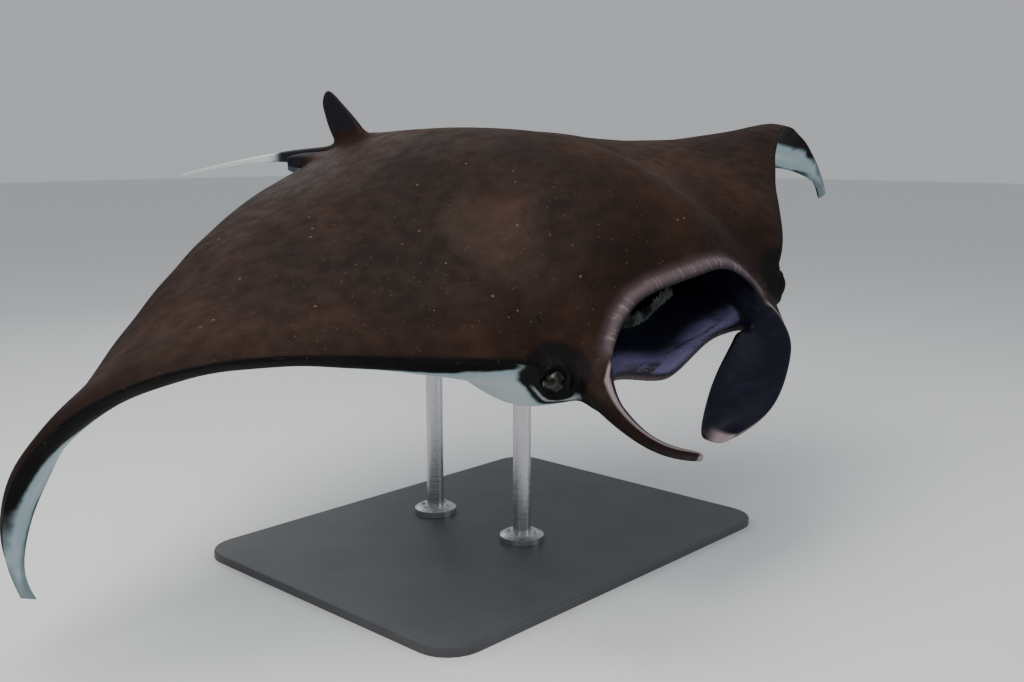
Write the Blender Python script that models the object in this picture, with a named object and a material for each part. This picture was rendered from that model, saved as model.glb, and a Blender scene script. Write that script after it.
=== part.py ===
# Life-size reef manta ray, mouth open and head lobes unfurled, banked on a plain display stand.
# Metres, +Z up. The ray faces -Y and its left wing points to +X. The origin is the centre of the
# stand's underside. The ray is drawn flat and symmetric first, as one cage of quads. The pose then
# bends its wings and tilts it on the stand, and thin cuts part it into its pieces.

import math

import bmesh
import bpy
import numpy as np
from mathutils import Matrix, Vector
from mathutils.bvhtree import BVHTree

# The cage: rows along the back and the belly, rows round the front edge, columns on each side
rows = 9
frontRows = 4
sideColumns = 21
loopSize = 2 * (rows + 1) + frontRows - 1
mouthColumn = 5
lobeColumn = 7

# Flat wing, one side
wing = {
    "span": 1.60,
    "firstColumn": 0.46,
    "frontRootX": 0.44,
    "frontRootY": -0.60,
    "frontPower": 0.83,
    "tipY": 0.16,
    "tipChord": 0.03,
    "rearRootX": 0.10,
    "rearRootY": 0.66,
    "rearPower": 1.16,
    "rearHollow": 0.18,
    "rootThickness": 0.144,
    "tipThickness": 0.014,
    "thinning": 0.36,
    "edge": 0.004,
    "rootEdge": 0.012,
}

# Body: height over the wing's plane, depth under it and half width, as (y, value)
body = {
    "back": ((-0.76, 0.093), (-0.62, 0.124), (-0.42, 0.16), (-0.18, 0.19), (0.08, 0.182),
             (0.33, 0.133), (0.52, 0.084), (0.72, 0.04)),
    "belly": ((-0.76, 0.146), (-0.67, 0.164), (-0.57, 0.214), (-0.42, 0.258), (-0.20, 0.236),
              (0.12, 0.161), (0.35, 0.107), (0.52, 0.068), (0.72, 0.034)),
    "halfWidth": ((-0.76, 0.40), (-0.55, 0.41), (-0.35, 0.44), (-0.10, 0.46), (0.15, 0.40),
                  (0.35, 0.28), (0.52, 0.16), (0.72, 0.07)),
    "headSquareness": 2.35,
    "rearLift": 0.052,
    "sideDrop": 0.092,
    "rearY": 0.70,
}

# Head: (x, y) of its outline from the middle of the lip to the wing's root, and the x where each of
# those columns reaches the rear edge
headOutline = ((0.0, -0.672, 0.0), (0.054, -0.669, 0.018), (0.108, -0.664, 0.04),
               (0.162, -0.661, 0.07), (0.211, -0.667, 0.11), (0.251, -0.679, 0.15),
               (0.287, -0.677, 0.19), (0.329, -0.669, 0.235), (0.366, -0.654, 0.28),
               (0.382, -0.639, 0.325), (0.384, -0.621, 0.37), (0.392, -0.600, 0.41))
mouth = {
    "halfWidth": 0.30,
    "lipLift": -0.104,
    "lipArch": 0.049,
    "jawDrop": 0.238,
    "jawArch": 0.179,
    "archPower": 1.22,
    "jawSetBack": 0.052,
    "fade": 0.16,
    "depths": (0.012, 0.06, 0.15, 0.27, 0.38),
    "widths": (0.93, 0.90, 0.84, 0.70, 0.46),
    "heights": (0.88, 0.82, 0.62, 0.40, 0.22),
}

# Head lobes: middle line from the root as (outward, forward, down) control points
lobe = {
    "left": {"path": ((-0.032, 0.042, 0.024), (-0.010, 0.051, 0.118), (-0.277, 0.092, 0.217)),
             "flare": 87.7, "lean": 0.359, "halfWidth": 0.087, "cup": 0.257, "root": 1.15},
    "right": {"path": ((0.103, 0.145, -0.045), (-0.029, 0.136, 0.119), (-0.106, 0.229, 0.125)),
              "flare": 71.8, "lean": 0.600, "halfWidth": 0.076, "cup": 0.206, "root": 1.06},
    "rings": 6,
}

headTurn = {"degrees": -5.8, "pivotY": -0.30}
fin = {"height": 0.122, "lean": 0.122, "rings": 4}
tail = {"length": 0.89, "droop": 0.245, "power": 1.2, "rings": 6}
pelvic = {"length": 0.055, "spread": 0.03, "rings": 2}
eye = {"left": -0.650, "right": -0.585, "z": -0.148, "radius": 0.030, "proud": 0.012}

# Pose: wing bend and twist in degrees, against the share of the span raised to a power
bendStart = 0.30
twistAxisY = 0.05
pose = {
    "left": {"bend": ((1, 11.9), (2, -7.5), (3, -3.8), (6, 46.5)),
             "twist": ((1, -37.5), (2, -21.9), (4, -5.1)), "sweep": -0.262},
    "right": {"bend": ((1, 1.1), (2, 74.2), (3, -34.1), (6, 21.7)),
              "twist": ((1, 1.8), (2, -46.7), (4, -59.0)), "sweep": -0.056},
    "noseDown": 10.15,
    "bank": -11.44,
    "height": 0.90,
}

stand = {
    "size": (1.25, 0.95, 0.02),
    "corner": 0.09,
    "edgeRound": 0.004,
    "rodRadius": 0.024,
    "footRadius": 0.06,
    "footHeight": 0.022,
    "saddleRadius": 0.045,
    "rods": {"stand_rod_front": -0.11, "stand_rod_rear": 0.23},
}

gap = 0.0004
share = 0.46


def ease(low, high, x):
    t = np.clip((np.asarray(x, float) - low) / (high - low), 0.0, 1.0)
    return t * t * (3.0 - 2.0 * t)


def through(points, x):
    """Values of a smooth curve through (position, value) points."""
    places, values = np.array(points, float).T
    x = np.clip(x, places[0], places[-1])
    slope = np.gradient(values, places)
    i = np.clip(np.searchsorted(places, x) - 1, 0, len(places) - 2)
    h = places[i + 1] - places[i]
    t = (x - places[i]) / h
    return ((2 * t**3 - 3 * t**2 + 1) * values[i] + (t**3 - 2 * t**2 + t) * h * slope[i]
            + (3 * t**2 - 2 * t**3) * values[i + 1] + (t**3 - t**2) * h * slope[i + 1])


def frontEdge(x):
    u = np.clip((x - wing["frontRootX"]) / (wing["span"] - wing["frontRootX"]), 0, 1)
    return wing["frontRootY"] + (wing["tipY"] - wing["frontRootY"]) * u ** wing["frontPower"]


def rearEdge(x):
    u = np.clip((x - wing["rearRootX"]) / (wing["span"] - wing["rearRootX"]), 0, 1)
    rise = (wing["rearRootY"] - wing["tipY"]) * (1 - u) ** wing["rearPower"]
    return wing["tipY"] + rise - wing["rearHollow"] * np.sin(math.pi * u) * u


def wingThickness(x):
    fall = np.exp(-np.clip(x - 0.40, 0, None) / wing["thinning"])
    return wing["tipThickness"] + (wing["rootThickness"] - wing["tipThickness"]) * fall


def wingSection(t):
    """Thickness along the chord, 1 where it is greatest: blunt in front, sharp behind."""
    curve = 0.2969 * np.sqrt(t) - 0.126 * t - 0.3516 * t**2 + 0.2843 * t**3 - 0.1036 * t**4
    return curve / 0.2


def bodyBell(x, y):
    """How much of the body's height is left at x: 1 on the midline, 0 far out on the wing."""
    squareness = 2.0 + (body["headSquareness"] - 2.0) * (1 - ease(-0.68, -0.30, y))
    return 1 / (1 + (np.abs(x) / through(body["halfWidth"], y)) ** squareness)


def columnEnds():
    """Front (x, y) and rear (x, y) of each column from the midline to the wing tip."""
    count = sideColumns + 1 - len(headOutline)
    share = 1 - (1 - np.arange(count) / (count - 1)) ** 1.35
    wingX = wing["firstColumn"] + (wing["span"] - wing["firstColumn"]) * share
    frontX = np.append([point[0] for point in headOutline], wingX)
    frontY = np.append([point[1] for point in headOutline], frontEdge(wingX))
    rearX = np.append([point[2] for point in headOutline], wingX)
    rearY = rearEdge(rearX)
    rearY[:4] = body["rearY"]
    rearY[-1] = wing["tipY"] + wing["tipChord"]
    return frontX, frontY, rearX, rearY


def halfGrid():
    """The cage's points from the midline to the left wing tip: columns by rows, back first."""
    frontX, frontY, rearX, rearY = columnEnds()
    number = np.arange(sideColumns + 1)
    onWing = ease(9.0, 12.5, number)[:, None]
    along = np.append(0.86 * (np.arange(rows - 1) / (rows - 2)) ** 1.2, (0.95, 1.0))
    x = frontX[:, None] + (rearX - frontX)[:, None] * along
    y = frontY[:, None] + (rearY - frontY)[:, None] * along
    section = wingThickness(x) * wingSection(along)
    rounding = 1 - onWing + onWing * np.sqrt(np.clip(along * (2 - along), 0, 1)) ** 1.2
    edge = wing["edge"] + wing["rootEdge"] * np.exp(-np.clip(x - 0.4, 0, None) / 0.4)
    bell = bodyBell(x, y)
    root = wing["rootThickness"]
    top = np.maximum(through(body["back"], y) - 0.5 * root, 0) * bell * rounding
    top += section * 1.15 + edge
    under = np.maximum(through(body["belly"], y) - 0.4 * root, 0) * bell * rounding
    under += section * 0.85 + edge
    top += body["rearLift"] * ease(0.05, 0.46, y) * bell * (1 - ease(0.58, 0.71, y))
    # the open mouth lifts the middle of the lip and drops the jaw
    near = np.exp(-np.clip(y + 0.745, 0, None) / mouth["fade"]) * (1 - onWing)
    out = np.clip(x / mouth["halfWidth"], 0, 1.25) ** mouth["archPower"]
    top += (mouth["lipLift"] - mouth["lipArch"] * out) * near
    under += (mouth["jawDrop"] - mouth["jawArch"] * out) * near

    grid = np.zeros((sideColumns + 1, loopSize, 3))
    grid[:, :rows + 1] = np.stack([x, y, top], -1)[:, ::-1]
    for i in range(1, frontRows):
        share = i / frontRows
        bulge = 0.35 * (top[:, 0] + under[:, 0]) * math.sin(math.pi * share) * onWing[:, 0]
        height = top[:, 0] * (1 - share) - under[:, 0] * share
        grid[:, rows + i] = np.stack([x[:, 0], y[:, 0] - bulge, height], -1)
    grid[:, rows + frontRows:] = np.stack([x, y, -under], -1)

    # the eyes' level and the wing's root sit low on the head
    drop = ease(0.12, 0.36, grid[..., 0]) * (1 - ease(0.5, 1.25, grid[..., 0]))
    grid[..., 2] -= body["sideDrop"] * drop * (1 - ease(-0.45, 0.25, grid[..., 1]))
    # the jaw is set back behind the lip
    lip = grid[:, rows, 2][:, None]
    jaw = grid[:, rows + frontRows, 2][:, None]
    down = np.clip((lip - grid[..., 2]) / (lip - jaw), 0, 1)
    fade = np.exp(-np.clip(grid[..., 1] + 0.74, 0, None) / 0.25)
    inHead = 1 - ease(5, 9, number)[:, None]
    grid[..., 1] += mouth["jawSetBack"] * inHead * down * fade
    return grid


def gridIndex(column, row):
    return (column + sideColumns) * loopSize + row % loopSize


def skinGrid():
    """Points and faces of the body and wings alone, closed at the wing tips."""
    half = halfGrid()
    mirrored = half[:0:-1] * (-1, 1, 1)
    points = [list(point) for point in np.concatenate([mirrored, half]).reshape(-1, 3)]
    faces = {}
    for column in range(-sideColumns, sideColumns):
        for row in range(loopSize):
            faces[column, row] = [gridIndex(column, row), gridIndex(column, row + 1),
                                  gridIndex(column + 1, row + 1), gridIndex(column + 1, row)]
    for side in (-1, 1):
        upper = [gridIndex(side * sideColumns, rows - i) for i in range(rows + 1)]
        lower = [gridIndex(side * sideColumns, rows + frontRows + i) for i in range(rows + 1)]
        nose = [gridIndex(side * sideColumns, rows + i) for i in range(frontRows + 1)]
        strip = [[upper[i], upper[i + 1], lower[i + 1], lower[i]] for i in range(rows)]
        strip += [[nose[0], nose[4], nose[3], nose[1]], [nose[1], nose[3], nose[2]]]
        for i, face in enumerate(strip):
            faces["tip", side, i] = face[::-1] if side > 0 else face
    return points, faces


def growBlock(points, faces, columns, firstRow, rowCount, rings, place):
    """Grows a block of the grid out, or in, by rings. place(t, base, u, v) sets a ring's points,
    where u and v run from -1 to 1 over the block."""
    wide = columns[1] - columns[0]
    for i in range(wide):
        for j in range(rowCount):
            del faces[columns[0] + i, (firstRow + j) % loopSize]
    block = [(i, j) for i in range(wide + 1) for j in range(rowCount + 1)]
    rim = ([(0, j) for j in range(rowCount)] + [(i, rowCount) for i in range(wide)]
           + [(wide, j) for j in range(rowCount, 0, -1)] + [(i, 0) for i in range(wide, 0, -1)])
    base = {at: gridIndex(columns[0] + at[0], firstRow + at[1]) for at in block}
    last = base
    for ring in range(1, rings + 1):
        keys = rim if ring < rings else block
        u = np.array([2 * i / wide - 1 for i, _ in keys])
        v = np.array([2 * j / rowCount - 1 for _, j in keys])
        start = np.array([points[base[at]] for at in keys])
        first = len(points)
        points.extend(place(ring / rings, start, u, v).tolist())
        new = {at: first + k for k, at in enumerate(keys)}
        for a, b in zip(rim, rim[1:] + rim[:1]):
            faces["side", first, a] = [last[a], last[b], new[b], new[a]]
        last = new
    for i in range(wide):
        for j in range(rowCount):
            faces["cap", last[i, j]] = [last[i, j], last[i, j + 1], last[i + 1, j + 1],
                                        last[i + 1, j]]


def blockMiddle(points, columns, firstRow, rowCount):
    return np.mean([points[gridIndex(column, row)]
                    for column in range(columns[0], columns[1] + 1)
                    for row in range(firstRow, firstRow + rowCount + 1)], axis=0)


def addMouth(points, faces):
    columns = (-mouthColumn, mouthColumn)
    middle = blockMiddle(points, columns, rows, frontRows)
    count = len(mouth["depths"])

    def place(t, base, u, v):
        ring = round(t * count) - 1
        centre = middle[2] * (1 - t)
        return np.stack([base[:, 0] * mouth["widths"][ring], base[:, 1] + mouth["depths"][ring],
                         centre + (base[:, 2] - middle[2]) * mouth["heights"][ring]], -1)

    growBlock(points, faces, columns, rows, frontRows, count, place)


def addLobe(points, faces, side):
    columns = (mouthColumn, lobeColumn) if side > 0 else (-lobeColumn, -mouthColumn)
    shape = lobe["left" if side > 0 else "right"]
    root = blockMiddle(points, columns, rows, frontRows)
    controls = [root] + [root + (side * out, -forward, -down)
                         for out, forward, down in shape["path"]]
    flare = math.radians(shape["flare"])
    level = math.sqrt(1 - shape["lean"] ** 2)
    across = np.array([side * math.sin(flare) * level, -math.cos(flare) * level, shape["lean"]])
    widths = (shape["root"], (shape["root"] + 0.95) / 2, 0.95, 1, 0.85, 0.42)

    def place(t, base, u, v):
        weights = ((1 - t) ** 3, 3 * t * (1 - t) ** 2, 3 * t * t * (1 - t), t**3)
        centre = sum(w * c for w, c in zip(weights, controls))
        run = ((1 - t) ** 2 * (controls[1] - controls[0])
               + 2 * t * (1 - t) * (controls[2] - controls[1]) + t * t * (controls[3] - controls[2]))
        run = run / np.linalg.norm(run)
        wide = across - run * (across @ run)
        wide = wide / np.linalg.norm(wide)
        outward = np.cross(wide, run) * side
        halfWidth = shape["halfWidth"] * np.interp(t, (0, 0.2, 0.45, 0.7, 0.87, 1), widths)
        thick = np.interp(t, (0, 0.15, 0.4, 0.8, 1), (0.035, 0.024, 0.014, 0.009, 0.006))
        off = u * side * thick + (1 - v * v) * shape["cup"] * halfWidth
        paddle = centre + np.outer(-v * halfWidth, wide) + np.outer(off, outward)
        free = ease(0.04, 0.40, t)
        return (base + centre - root) * (1 - free) + paddle * free

    growBlock(points, faces, columns, rows, frontRows, lobe["rings"], place)


def turnHead(points):
    """The points with the head turned a little to the ray's right."""
    points = np.array(points, float)
    x, y = points[:, 0].copy(), points[:, 1] - headTurn["pivotY"]
    share = (1 - ease(-0.62, -0.12, points[:, 1])) * (1 - ease(0.42, 0.72, np.abs(x)))
    angle = np.radians(headTurn["degrees"]) * share
    points[:, 0] = x * np.cos(angle) - y * np.sin(angle)
    points[:, 1] = x * np.sin(angle) + y * np.cos(angle) + headTurn["pivotY"]
    return points


def addDorsalFin(points, faces):
    start, end = points[gridIndex(0, 2)][1], points[gridIndex(0, 1)][1]

    def place(t, base, u, v):
        chord = np.interp(t, (0, 0.5, 1), (1.3, 0.85, 0.25))
        middle = (start + end) / 2
        return np.stack([u * np.interp(t, (0, 1), (0.018, 0.004)),
                         middle + fin["lean"] * t + (base[:, 1] - middle) * chord,
                         base[:, 2] + fin["height"] * t], -1)

    growBlock(points, faces, (-1, 1), 1, 1, fin["rings"], place)


def addTail(points, faces):
    def place(t, base, u, v):
        radius = np.interp(t, (0, 0.12, 0.4, 1), (0.036, 0.02, 0.011, 0.004))
        return np.stack([u * radius * 1.2,
                         body["rearY"] + tail["length"] * t + 0 * u,
                         0.02 - tail["droop"] * t ** tail["power"] + v * radius], -1)

    growBlock(points, faces, (-1, 1), loopSize - 2, 3, tail["rings"], place)


def addPelvicFin(points, faces, side):
    columns = (2, 4) if side > 0 else (-4, -2)

    def place(t, base, u, v):
        shrink = 1 - 0.35 * t
        middle = base.mean(axis=0)
        return np.stack([middle[0] + (base[:, 0] - middle[0]) * shrink + side * pelvic["spread"] * t,
                         base[:, 1].max() + pelvic["length"] * t - 0.02 * t * u * u,
                         middle[2] + (base[:, 2] - middle[2]) * (1 - 0.55 * t)], -1)

    growBlock(points, faces, columns, loopSize - 2, 3, pelvic["rings"], place)


def flatRay():
    """The whole ray, flat, as a subdivided mesh."""
    points, faces = skinGrid()
    addMouth(points, faces)
    addLobe(points, faces, 1)
    addLobe(points, faces, -1)
    addDorsalFin(points, faces)
    addTail(points, faces)
    addPelvicFin(points, faces, 1)
    addPelvicFin(points, faces, -1)
    mesh = bpy.data.meshes.new("flatRay")
    mesh.from_pydata(turnHead(points).tolist(), [], list(faces.values()))
    flat = bpy.data.objects.new("flatRay", mesh)
    bpy.context.scene.collection.objects.link(flat)
    smooth = flat.modifiers.new("smooth", "SUBSURF")
    smooth.levels = smooth.render_levels = 1
    graph = bpy.context.evaluated_depsgraph_get()
    fine = bpy.data.meshes.new_from_object(flat.evaluated_get(graph))
    bpy.data.objects.remove(flat)
    return fine


def angleAt(terms, u):
    return np.radians(sum(amount * u**power for power, amount in terms))


def posed(points):
    """Flat points moved to their place on the stand."""
    points = np.asarray(points, float)
    out = np.empty_like(points)
    reach = wing["span"] - bendStart
    steps = np.linspace(0, 1, 61)
    for side, name in ((-1, "right"), (1, "left")):
        shape = pose[name]
        mine = points[:, 0] >= 0 if side > 0 else points[:, 0] < 0
        x, y, z = points[mine].T
        bend = angleAt(shape["bend"], steps)
        middle = (bend[1:] + bend[:-1]) / 2
        arcX = bendStart + np.append(0, np.cumsum(np.cos(middle))) * reach / 60
        arcZ = -np.append(0, np.cumsum(np.sin(middle))) * reach / 60
        u = np.clip((np.abs(x) - bendStart) / reach, 0, 1)
        inner = np.minimum(np.abs(x) - bendStart, 0)
        turn = angleAt(shape["twist"], u)
        slope = np.interp(u, steps, bend)
        alongY = y - twistAxisY
        newY = twistAxisY + alongY * np.cos(turn) - z * np.sin(turn) + shape["sweep"] * u * u
        lift = alongY * np.sin(turn) + z * np.cos(turn)
        out[mine, 0] = side * (np.interp(u, steps, arcX) + inner + lift * np.sin(slope))
        out[mine, 1] = newY
        out[mine, 2] = np.interp(u, steps, arcZ) + lift * np.cos(slope)
    tilt = (Matrix.Rotation(math.radians(pose["noseDown"]), 3, "X")
            @ Matrix.Rotation(math.radians(pose["bank"]), 3, "Y"))
    return out @ np.array(tilt).T + (0, 0, pose["height"])


def posedPoint(x, y, z):
    return Vector(posed([(x, y, z)])[0])


def posedDirection(at, direction):
    """Normal, on the posed ray, of the plane that is square to direction on the flat one."""
    step = 1e-4
    here = np.array(posedPoint(*at))
    change = [np.array(posedPoint(*(np.array(at) + axis))) - here for axis in np.eye(3) * step]
    normal = np.linalg.solve(np.array(change), np.array(direction, float))
    return Vector(normal).normalized()


def newObject(name, mesh):
    item = bpy.data.objects.new(name, mesh)
    bpy.context.scene.collection.objects.link(item)
    return item


def boolean(mesh, cutter, operation):
    """A new mesh: the mesh cut by, or kept inside, the cutter object."""
    item = newObject("cutting", mesh)
    cut = item.modifiers.new("cut", "BOOLEAN")
    cut.operation = operation
    cut.object = cutter
    cut.use_self = True
    graph = bpy.context.evaluated_depsgraph_get()
    result = bpy.data.meshes.new_from_object(item.evaluated_get(graph))
    bpy.data.objects.remove(item)
    shape = bmesh.new()
    shape.from_mesh(result)
    if shape.calc_volume(signed=True) < 0:
        result.flip_normals()
    shape.free()
    return result


def blockFrom(at, direction, size, grow):
    """A block that stands on a plane through at, reaches size[2] along direction and is grown."""
    shape = bmesh.new()
    bmesh.ops.create_cube(shape, size=1)
    first = Vector((0, 1, 0)) if abs(direction.x) > 0.8 else Vector((1, 0, 0))
    second = direction.cross(first).normalized()
    turn = Matrix((second.cross(direction), second, direction)).transposed().to_4x4()
    place = (Matrix.Translation(at + direction * size[2] / 2) @ turn
             @ Matrix.Diagonal((*(side + 2 * grow for side in size), 1)))
    bmesh.ops.transform(shape, matrix=place, verts=shape.verts)
    mesh = bpy.data.meshes.new("block")
    shape.to_mesh(mesh)
    shape.free()
    block = newObject("block", mesh)
    block.hide_render = True
    return block


def splitOff(rest, at, direction, size):
    """(piece beyond the plane, what is left), with the gap between them."""
    results = []
    for operation, grow in (("INTERSECT", -gap / 2), ("DIFFERENCE", gap / 2)):
        block = blockFrom(at, direction, size, grow)
        results.append(boolean(rest, block, operation))
        bpy.data.objects.remove(block)
    return results


def cutList():
    """(name, flat point, flat direction, block size) of each cut, outermost first."""
    cuts = []
    for name, side in (("left", 1), ("right", -1)):
        for part, x in (("tip", 1.30), ("middle", 0.93), ("root", 0.56)):
            cuts.append((f"wing_{name}_{part}", (side * x, 0.0, 0.0), (side, 0, 0), (4, 4, 3)))
    rear = body["rearY"]
    for name, side in (("left", 1), ("right", -1)):
        cuts.append((f"pelvic_fin_{name}", (side * 0.115, rear + 0.02, 0.01), (0, 1, 0),
                     (0.16, 0.3, 0.12)))
    for part, y in (("tip", rear + 0.62), ("middle", rear + 0.33), ("base", rear + 0.045)):
        z = 0.02 - tail["droop"] * ((y - rear) / tail["length"]) ** tail["power"]
        cuts.append((f"tail_{part}", (0, y, z), (0, 1, 0), (0.5, 0.5, 1.2)))
    cuts.append(("dorsal_fin", (0, 0.58, 0.105), (0, 0.24, 1), (0.1, 0.4, 0.3)))
    return cuts


def cutLobes(rest, pieces):
    for name, x, wide in (("left", 0.22, 0.62), ("right", -0.30, 0.46)):
        at = (x, -0.70, -0.205)
        piece, rest = splitOff(rest, posedPoint(*at), posedDirection(at, (0, -1, -1)),
                               (wide, 0.6, 0.6))
        pieces[f"head_lobe_{name}"] = piece
    return rest


def sphere(name, centre, radius, segments, rings):
    shape = bmesh.new()
    bmesh.ops.create_uvsphere(shape, u_segments=segments, v_segments=rings, radius=radius,
                              matrix=Matrix.Translation(centre))
    mesh = bpy.data.meshes.new(name)
    shape.to_mesh(mesh)
    shape.free()
    return newObject(name, mesh)


def thinnedOut(mesh):
    """The mesh with fewer triangles where it is smooth."""
    item = newObject("thinning", mesh)
    fewer = item.modifiers.new("fewer", "DECIMATE")
    fewer.ratio = share
    graph = bpy.context.evaluated_depsgraph_get()
    result = bpy.data.meshes.new_from_object(item.evaluated_get(graph))
    bpy.data.objects.remove(item)
    return result


def eyeCentre(flat, side):
    """A little inside the side of the flat head, so that the eye stands proud by its amount."""
    tree = BVHTree.FromPolygons([v.co for v in flat.vertices], [p.vertices for p in flat.polygons])
    y = eye["left" if side > 0 else "right"]
    hit, normal, _, _ = tree.ray_cast(Vector((side * 0.7, y, eye["z"])), Vector((-side, 0, 0)))
    centre = hit - normal * (eye["radius"] - eye["proud"])
    return posedPoint(*centre)


def paint(item, colour, roughness, metallic=0.0):
    material = bpy.data.materials.new(item.name)
    material.use_nodes = True
    surface = material.node_tree.nodes["Principled BSDF"]
    surface.inputs["Base Color"].default_value = (*colour, 1)
    surface.inputs["Roughness"].default_value = roughness
    surface.inputs["Metallic"].default_value = metallic
    item.data.materials.clear()
    item.data.materials.append(material)
    item.data.shade_smooth()
    item.data.set_sharp_from_angle(angle=math.radians(50))


def makeRay():
    flat = flatRay()
    points = np.array([v.co for v in flat.vertices])
    centres = {name: eyeCentre(flat, side) for name, side in (("left", 1), ("right", -1))}
    flat.vertices.foreach_set("co", posed(points).ravel())
    whole = thinnedOut(flat)
    pieces = {}
    rest = whole
    for name, at, direction, size in cutList():
        pieces[name], rest = splitOff(rest, posedPoint(*at), posedDirection(at, direction), size)
    rest = cutLobes(rest, pieces)
    neck = (0, -0.255, 0)
    upper, trunk = splitOff(rest, posedPoint(*neck), posedDirection(neck, (0, -1, 0)), (3, 3, 1.5))
    pieces["trunk"] = trunk
    jaw = (-0.03, -0.45, -0.05)
    lower, upper = splitOff(upper, posedPoint(*jaw), posedDirection(jaw, (0, 0.27, -1)),
                            (0.30, 1.5, 0.6))
    pieces["lower_jaw"] = lower
    for name, centre in centres.items():
        socket = sphere("socket", centre, eye["radius"] + gap, 20, 10)
        socket.hide_render = True
        upper = boolean(upper, socket, "DIFFERENCE")
        bpy.data.objects.remove(socket)
        ball = sphere(f"eye_{name}", centre, eye["radius"], 20, 10)
        paint(ball, (0.02, 0.03, 0.05), 0.1)
    pieces["head"] = upper
    for name, mesh in pieces.items():
        pale = name.startswith(("tail_middle", "tail_tip"))
        paint(newObject(name, mesh), (0.5, 0.5, 0.5) if pale else (0.05, 0.03, 0.02), 0.45)
    return trunk


def makeBase():
    wide, deep, thick = stand["size"]
    shape = bmesh.new()
    bmesh.ops.create_cube(shape, size=1, matrix=Matrix.Translation((0, 0, thick / 2))
                          @ Matrix.Diagonal((wide, deep, thick, 1)))
    upright = [e for e in shape.edges if abs(e.verts[0].co.z - e.verts[1].co.z) > thick / 2]
    bmesh.ops.bevel(shape, geom=upright, offset=stand["corner"], segments=6, affect="EDGES",
                    profile=0.5)
    rim = [e for e in shape.edges if all(v.co.z > thick * 0.9 for v in e.verts)]
    bmesh.ops.bevel(shape, geom=rim, offset=stand["edgeRound"], segments=2, affect="EDGES",
                    profile=0.5)
    mesh = bpy.data.meshes.new("stand_base")
    shape.to_mesh(mesh)
    shape.free()
    paint(newObject("stand_base", mesh), (0.06, 0.06, 0.065), 0.4)


def makeRods(trunk):
    """Turned rods with a foot and a saddle, each saddle cut to the belly it carries."""
    clear = trunk.copy()
    clear.transform(Matrix.Translation((0, 0, -gap)))
    belly = newObject("belly", clear)
    belly.hide_render = True
    tree = BVHTree.FromPolygons([v.co for v in trunk.vertices],
                                [p.vertices for p in trunk.polygons])
    thin = stand["rodRadius"]
    floor = stand["size"][2] + gap
    for name, y in stand["rods"].items():
        hit = tree.ray_cast(Vector((0, y, floor)), Vector((0, 0, 1)))[0]
        top = hit.z + 0.03
        profile = ((0, floor), (stand["footRadius"], floor),
                   (stand["footRadius"], floor + stand["footHeight"] * 0.7),
                   (stand["footRadius"] * 0.8, floor + stand["footHeight"]),
                   (thin, floor + stand["footHeight"]), (thin, hit.z - 0.06),
                   (stand["saddleRadius"], hit.z - 0.025), (stand["saddleRadius"], top), (0, top))
        shape = bmesh.new()
        line = [shape.verts.new((radius, 0, z)) for radius, z in profile]
        edges = [shape.edges.new(pair) for pair in zip(line, line[1:])]
        bmesh.ops.spin(shape, geom=line + edges, axis=(0, 0, 1), cent=(0, 0, 0), steps=20,
                       angle=2 * math.pi)
        bmesh.ops.remove_doubles(shape, verts=shape.verts, dist=1e-5)
        bmesh.ops.recalc_face_normals(shape, faces=shape.faces)
        bmesh.ops.translate(shape, verts=shape.verts, vec=(0, y, 0))
        mesh = bpy.data.meshes.new(name)
        shape.to_mesh(mesh)
        shape.free()
        paint(newObject(name, boolean(mesh, belly, "DIFFERENCE")), (0.5, 0.5, 0.52), 0.3, 1.0)
    bpy.data.objects.remove(belly)


def main():
    for item in list(bpy.data.objects):
        bpy.data.objects.remove(item)
    trunk = makeRay()
    makeBase()
    makeRods(trunk)


main()
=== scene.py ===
# Looks for a life-size manta ray on a display stand: one skin over all the flesh, eyes, gill
# plates in the mouth, gill flaps on the belly, and finishes for the stand.

import math

import bmesh
import bpy
import numpy as np
from mathutils import Matrix, Vector
from mathutils.bvhtree import BVHTree
from mathutils.kdtree import KDTree


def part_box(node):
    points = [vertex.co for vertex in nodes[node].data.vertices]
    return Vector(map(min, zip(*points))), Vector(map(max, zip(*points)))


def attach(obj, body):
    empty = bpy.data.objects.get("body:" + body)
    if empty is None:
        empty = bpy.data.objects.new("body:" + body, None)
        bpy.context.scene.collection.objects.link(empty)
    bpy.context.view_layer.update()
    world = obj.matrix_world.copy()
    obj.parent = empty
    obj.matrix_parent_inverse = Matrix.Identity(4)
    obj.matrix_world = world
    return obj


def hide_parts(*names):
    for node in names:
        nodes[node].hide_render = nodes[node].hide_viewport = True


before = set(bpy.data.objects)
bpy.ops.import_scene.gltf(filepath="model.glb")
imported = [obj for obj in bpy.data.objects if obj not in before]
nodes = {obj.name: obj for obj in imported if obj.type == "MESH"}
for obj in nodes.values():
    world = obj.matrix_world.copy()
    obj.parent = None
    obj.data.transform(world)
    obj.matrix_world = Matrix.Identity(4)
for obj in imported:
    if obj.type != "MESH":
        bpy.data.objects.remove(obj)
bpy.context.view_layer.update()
flesh = [name for name in nodes if not name.startswith(("eye_", "stand_"))]
print("frame loaded:", len(nodes), "nodes")


def addObject(name, data):
    item = bpy.data.objects.new(name, data)
    bpy.context.scene.collection.objects.link(item)
    return item


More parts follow.
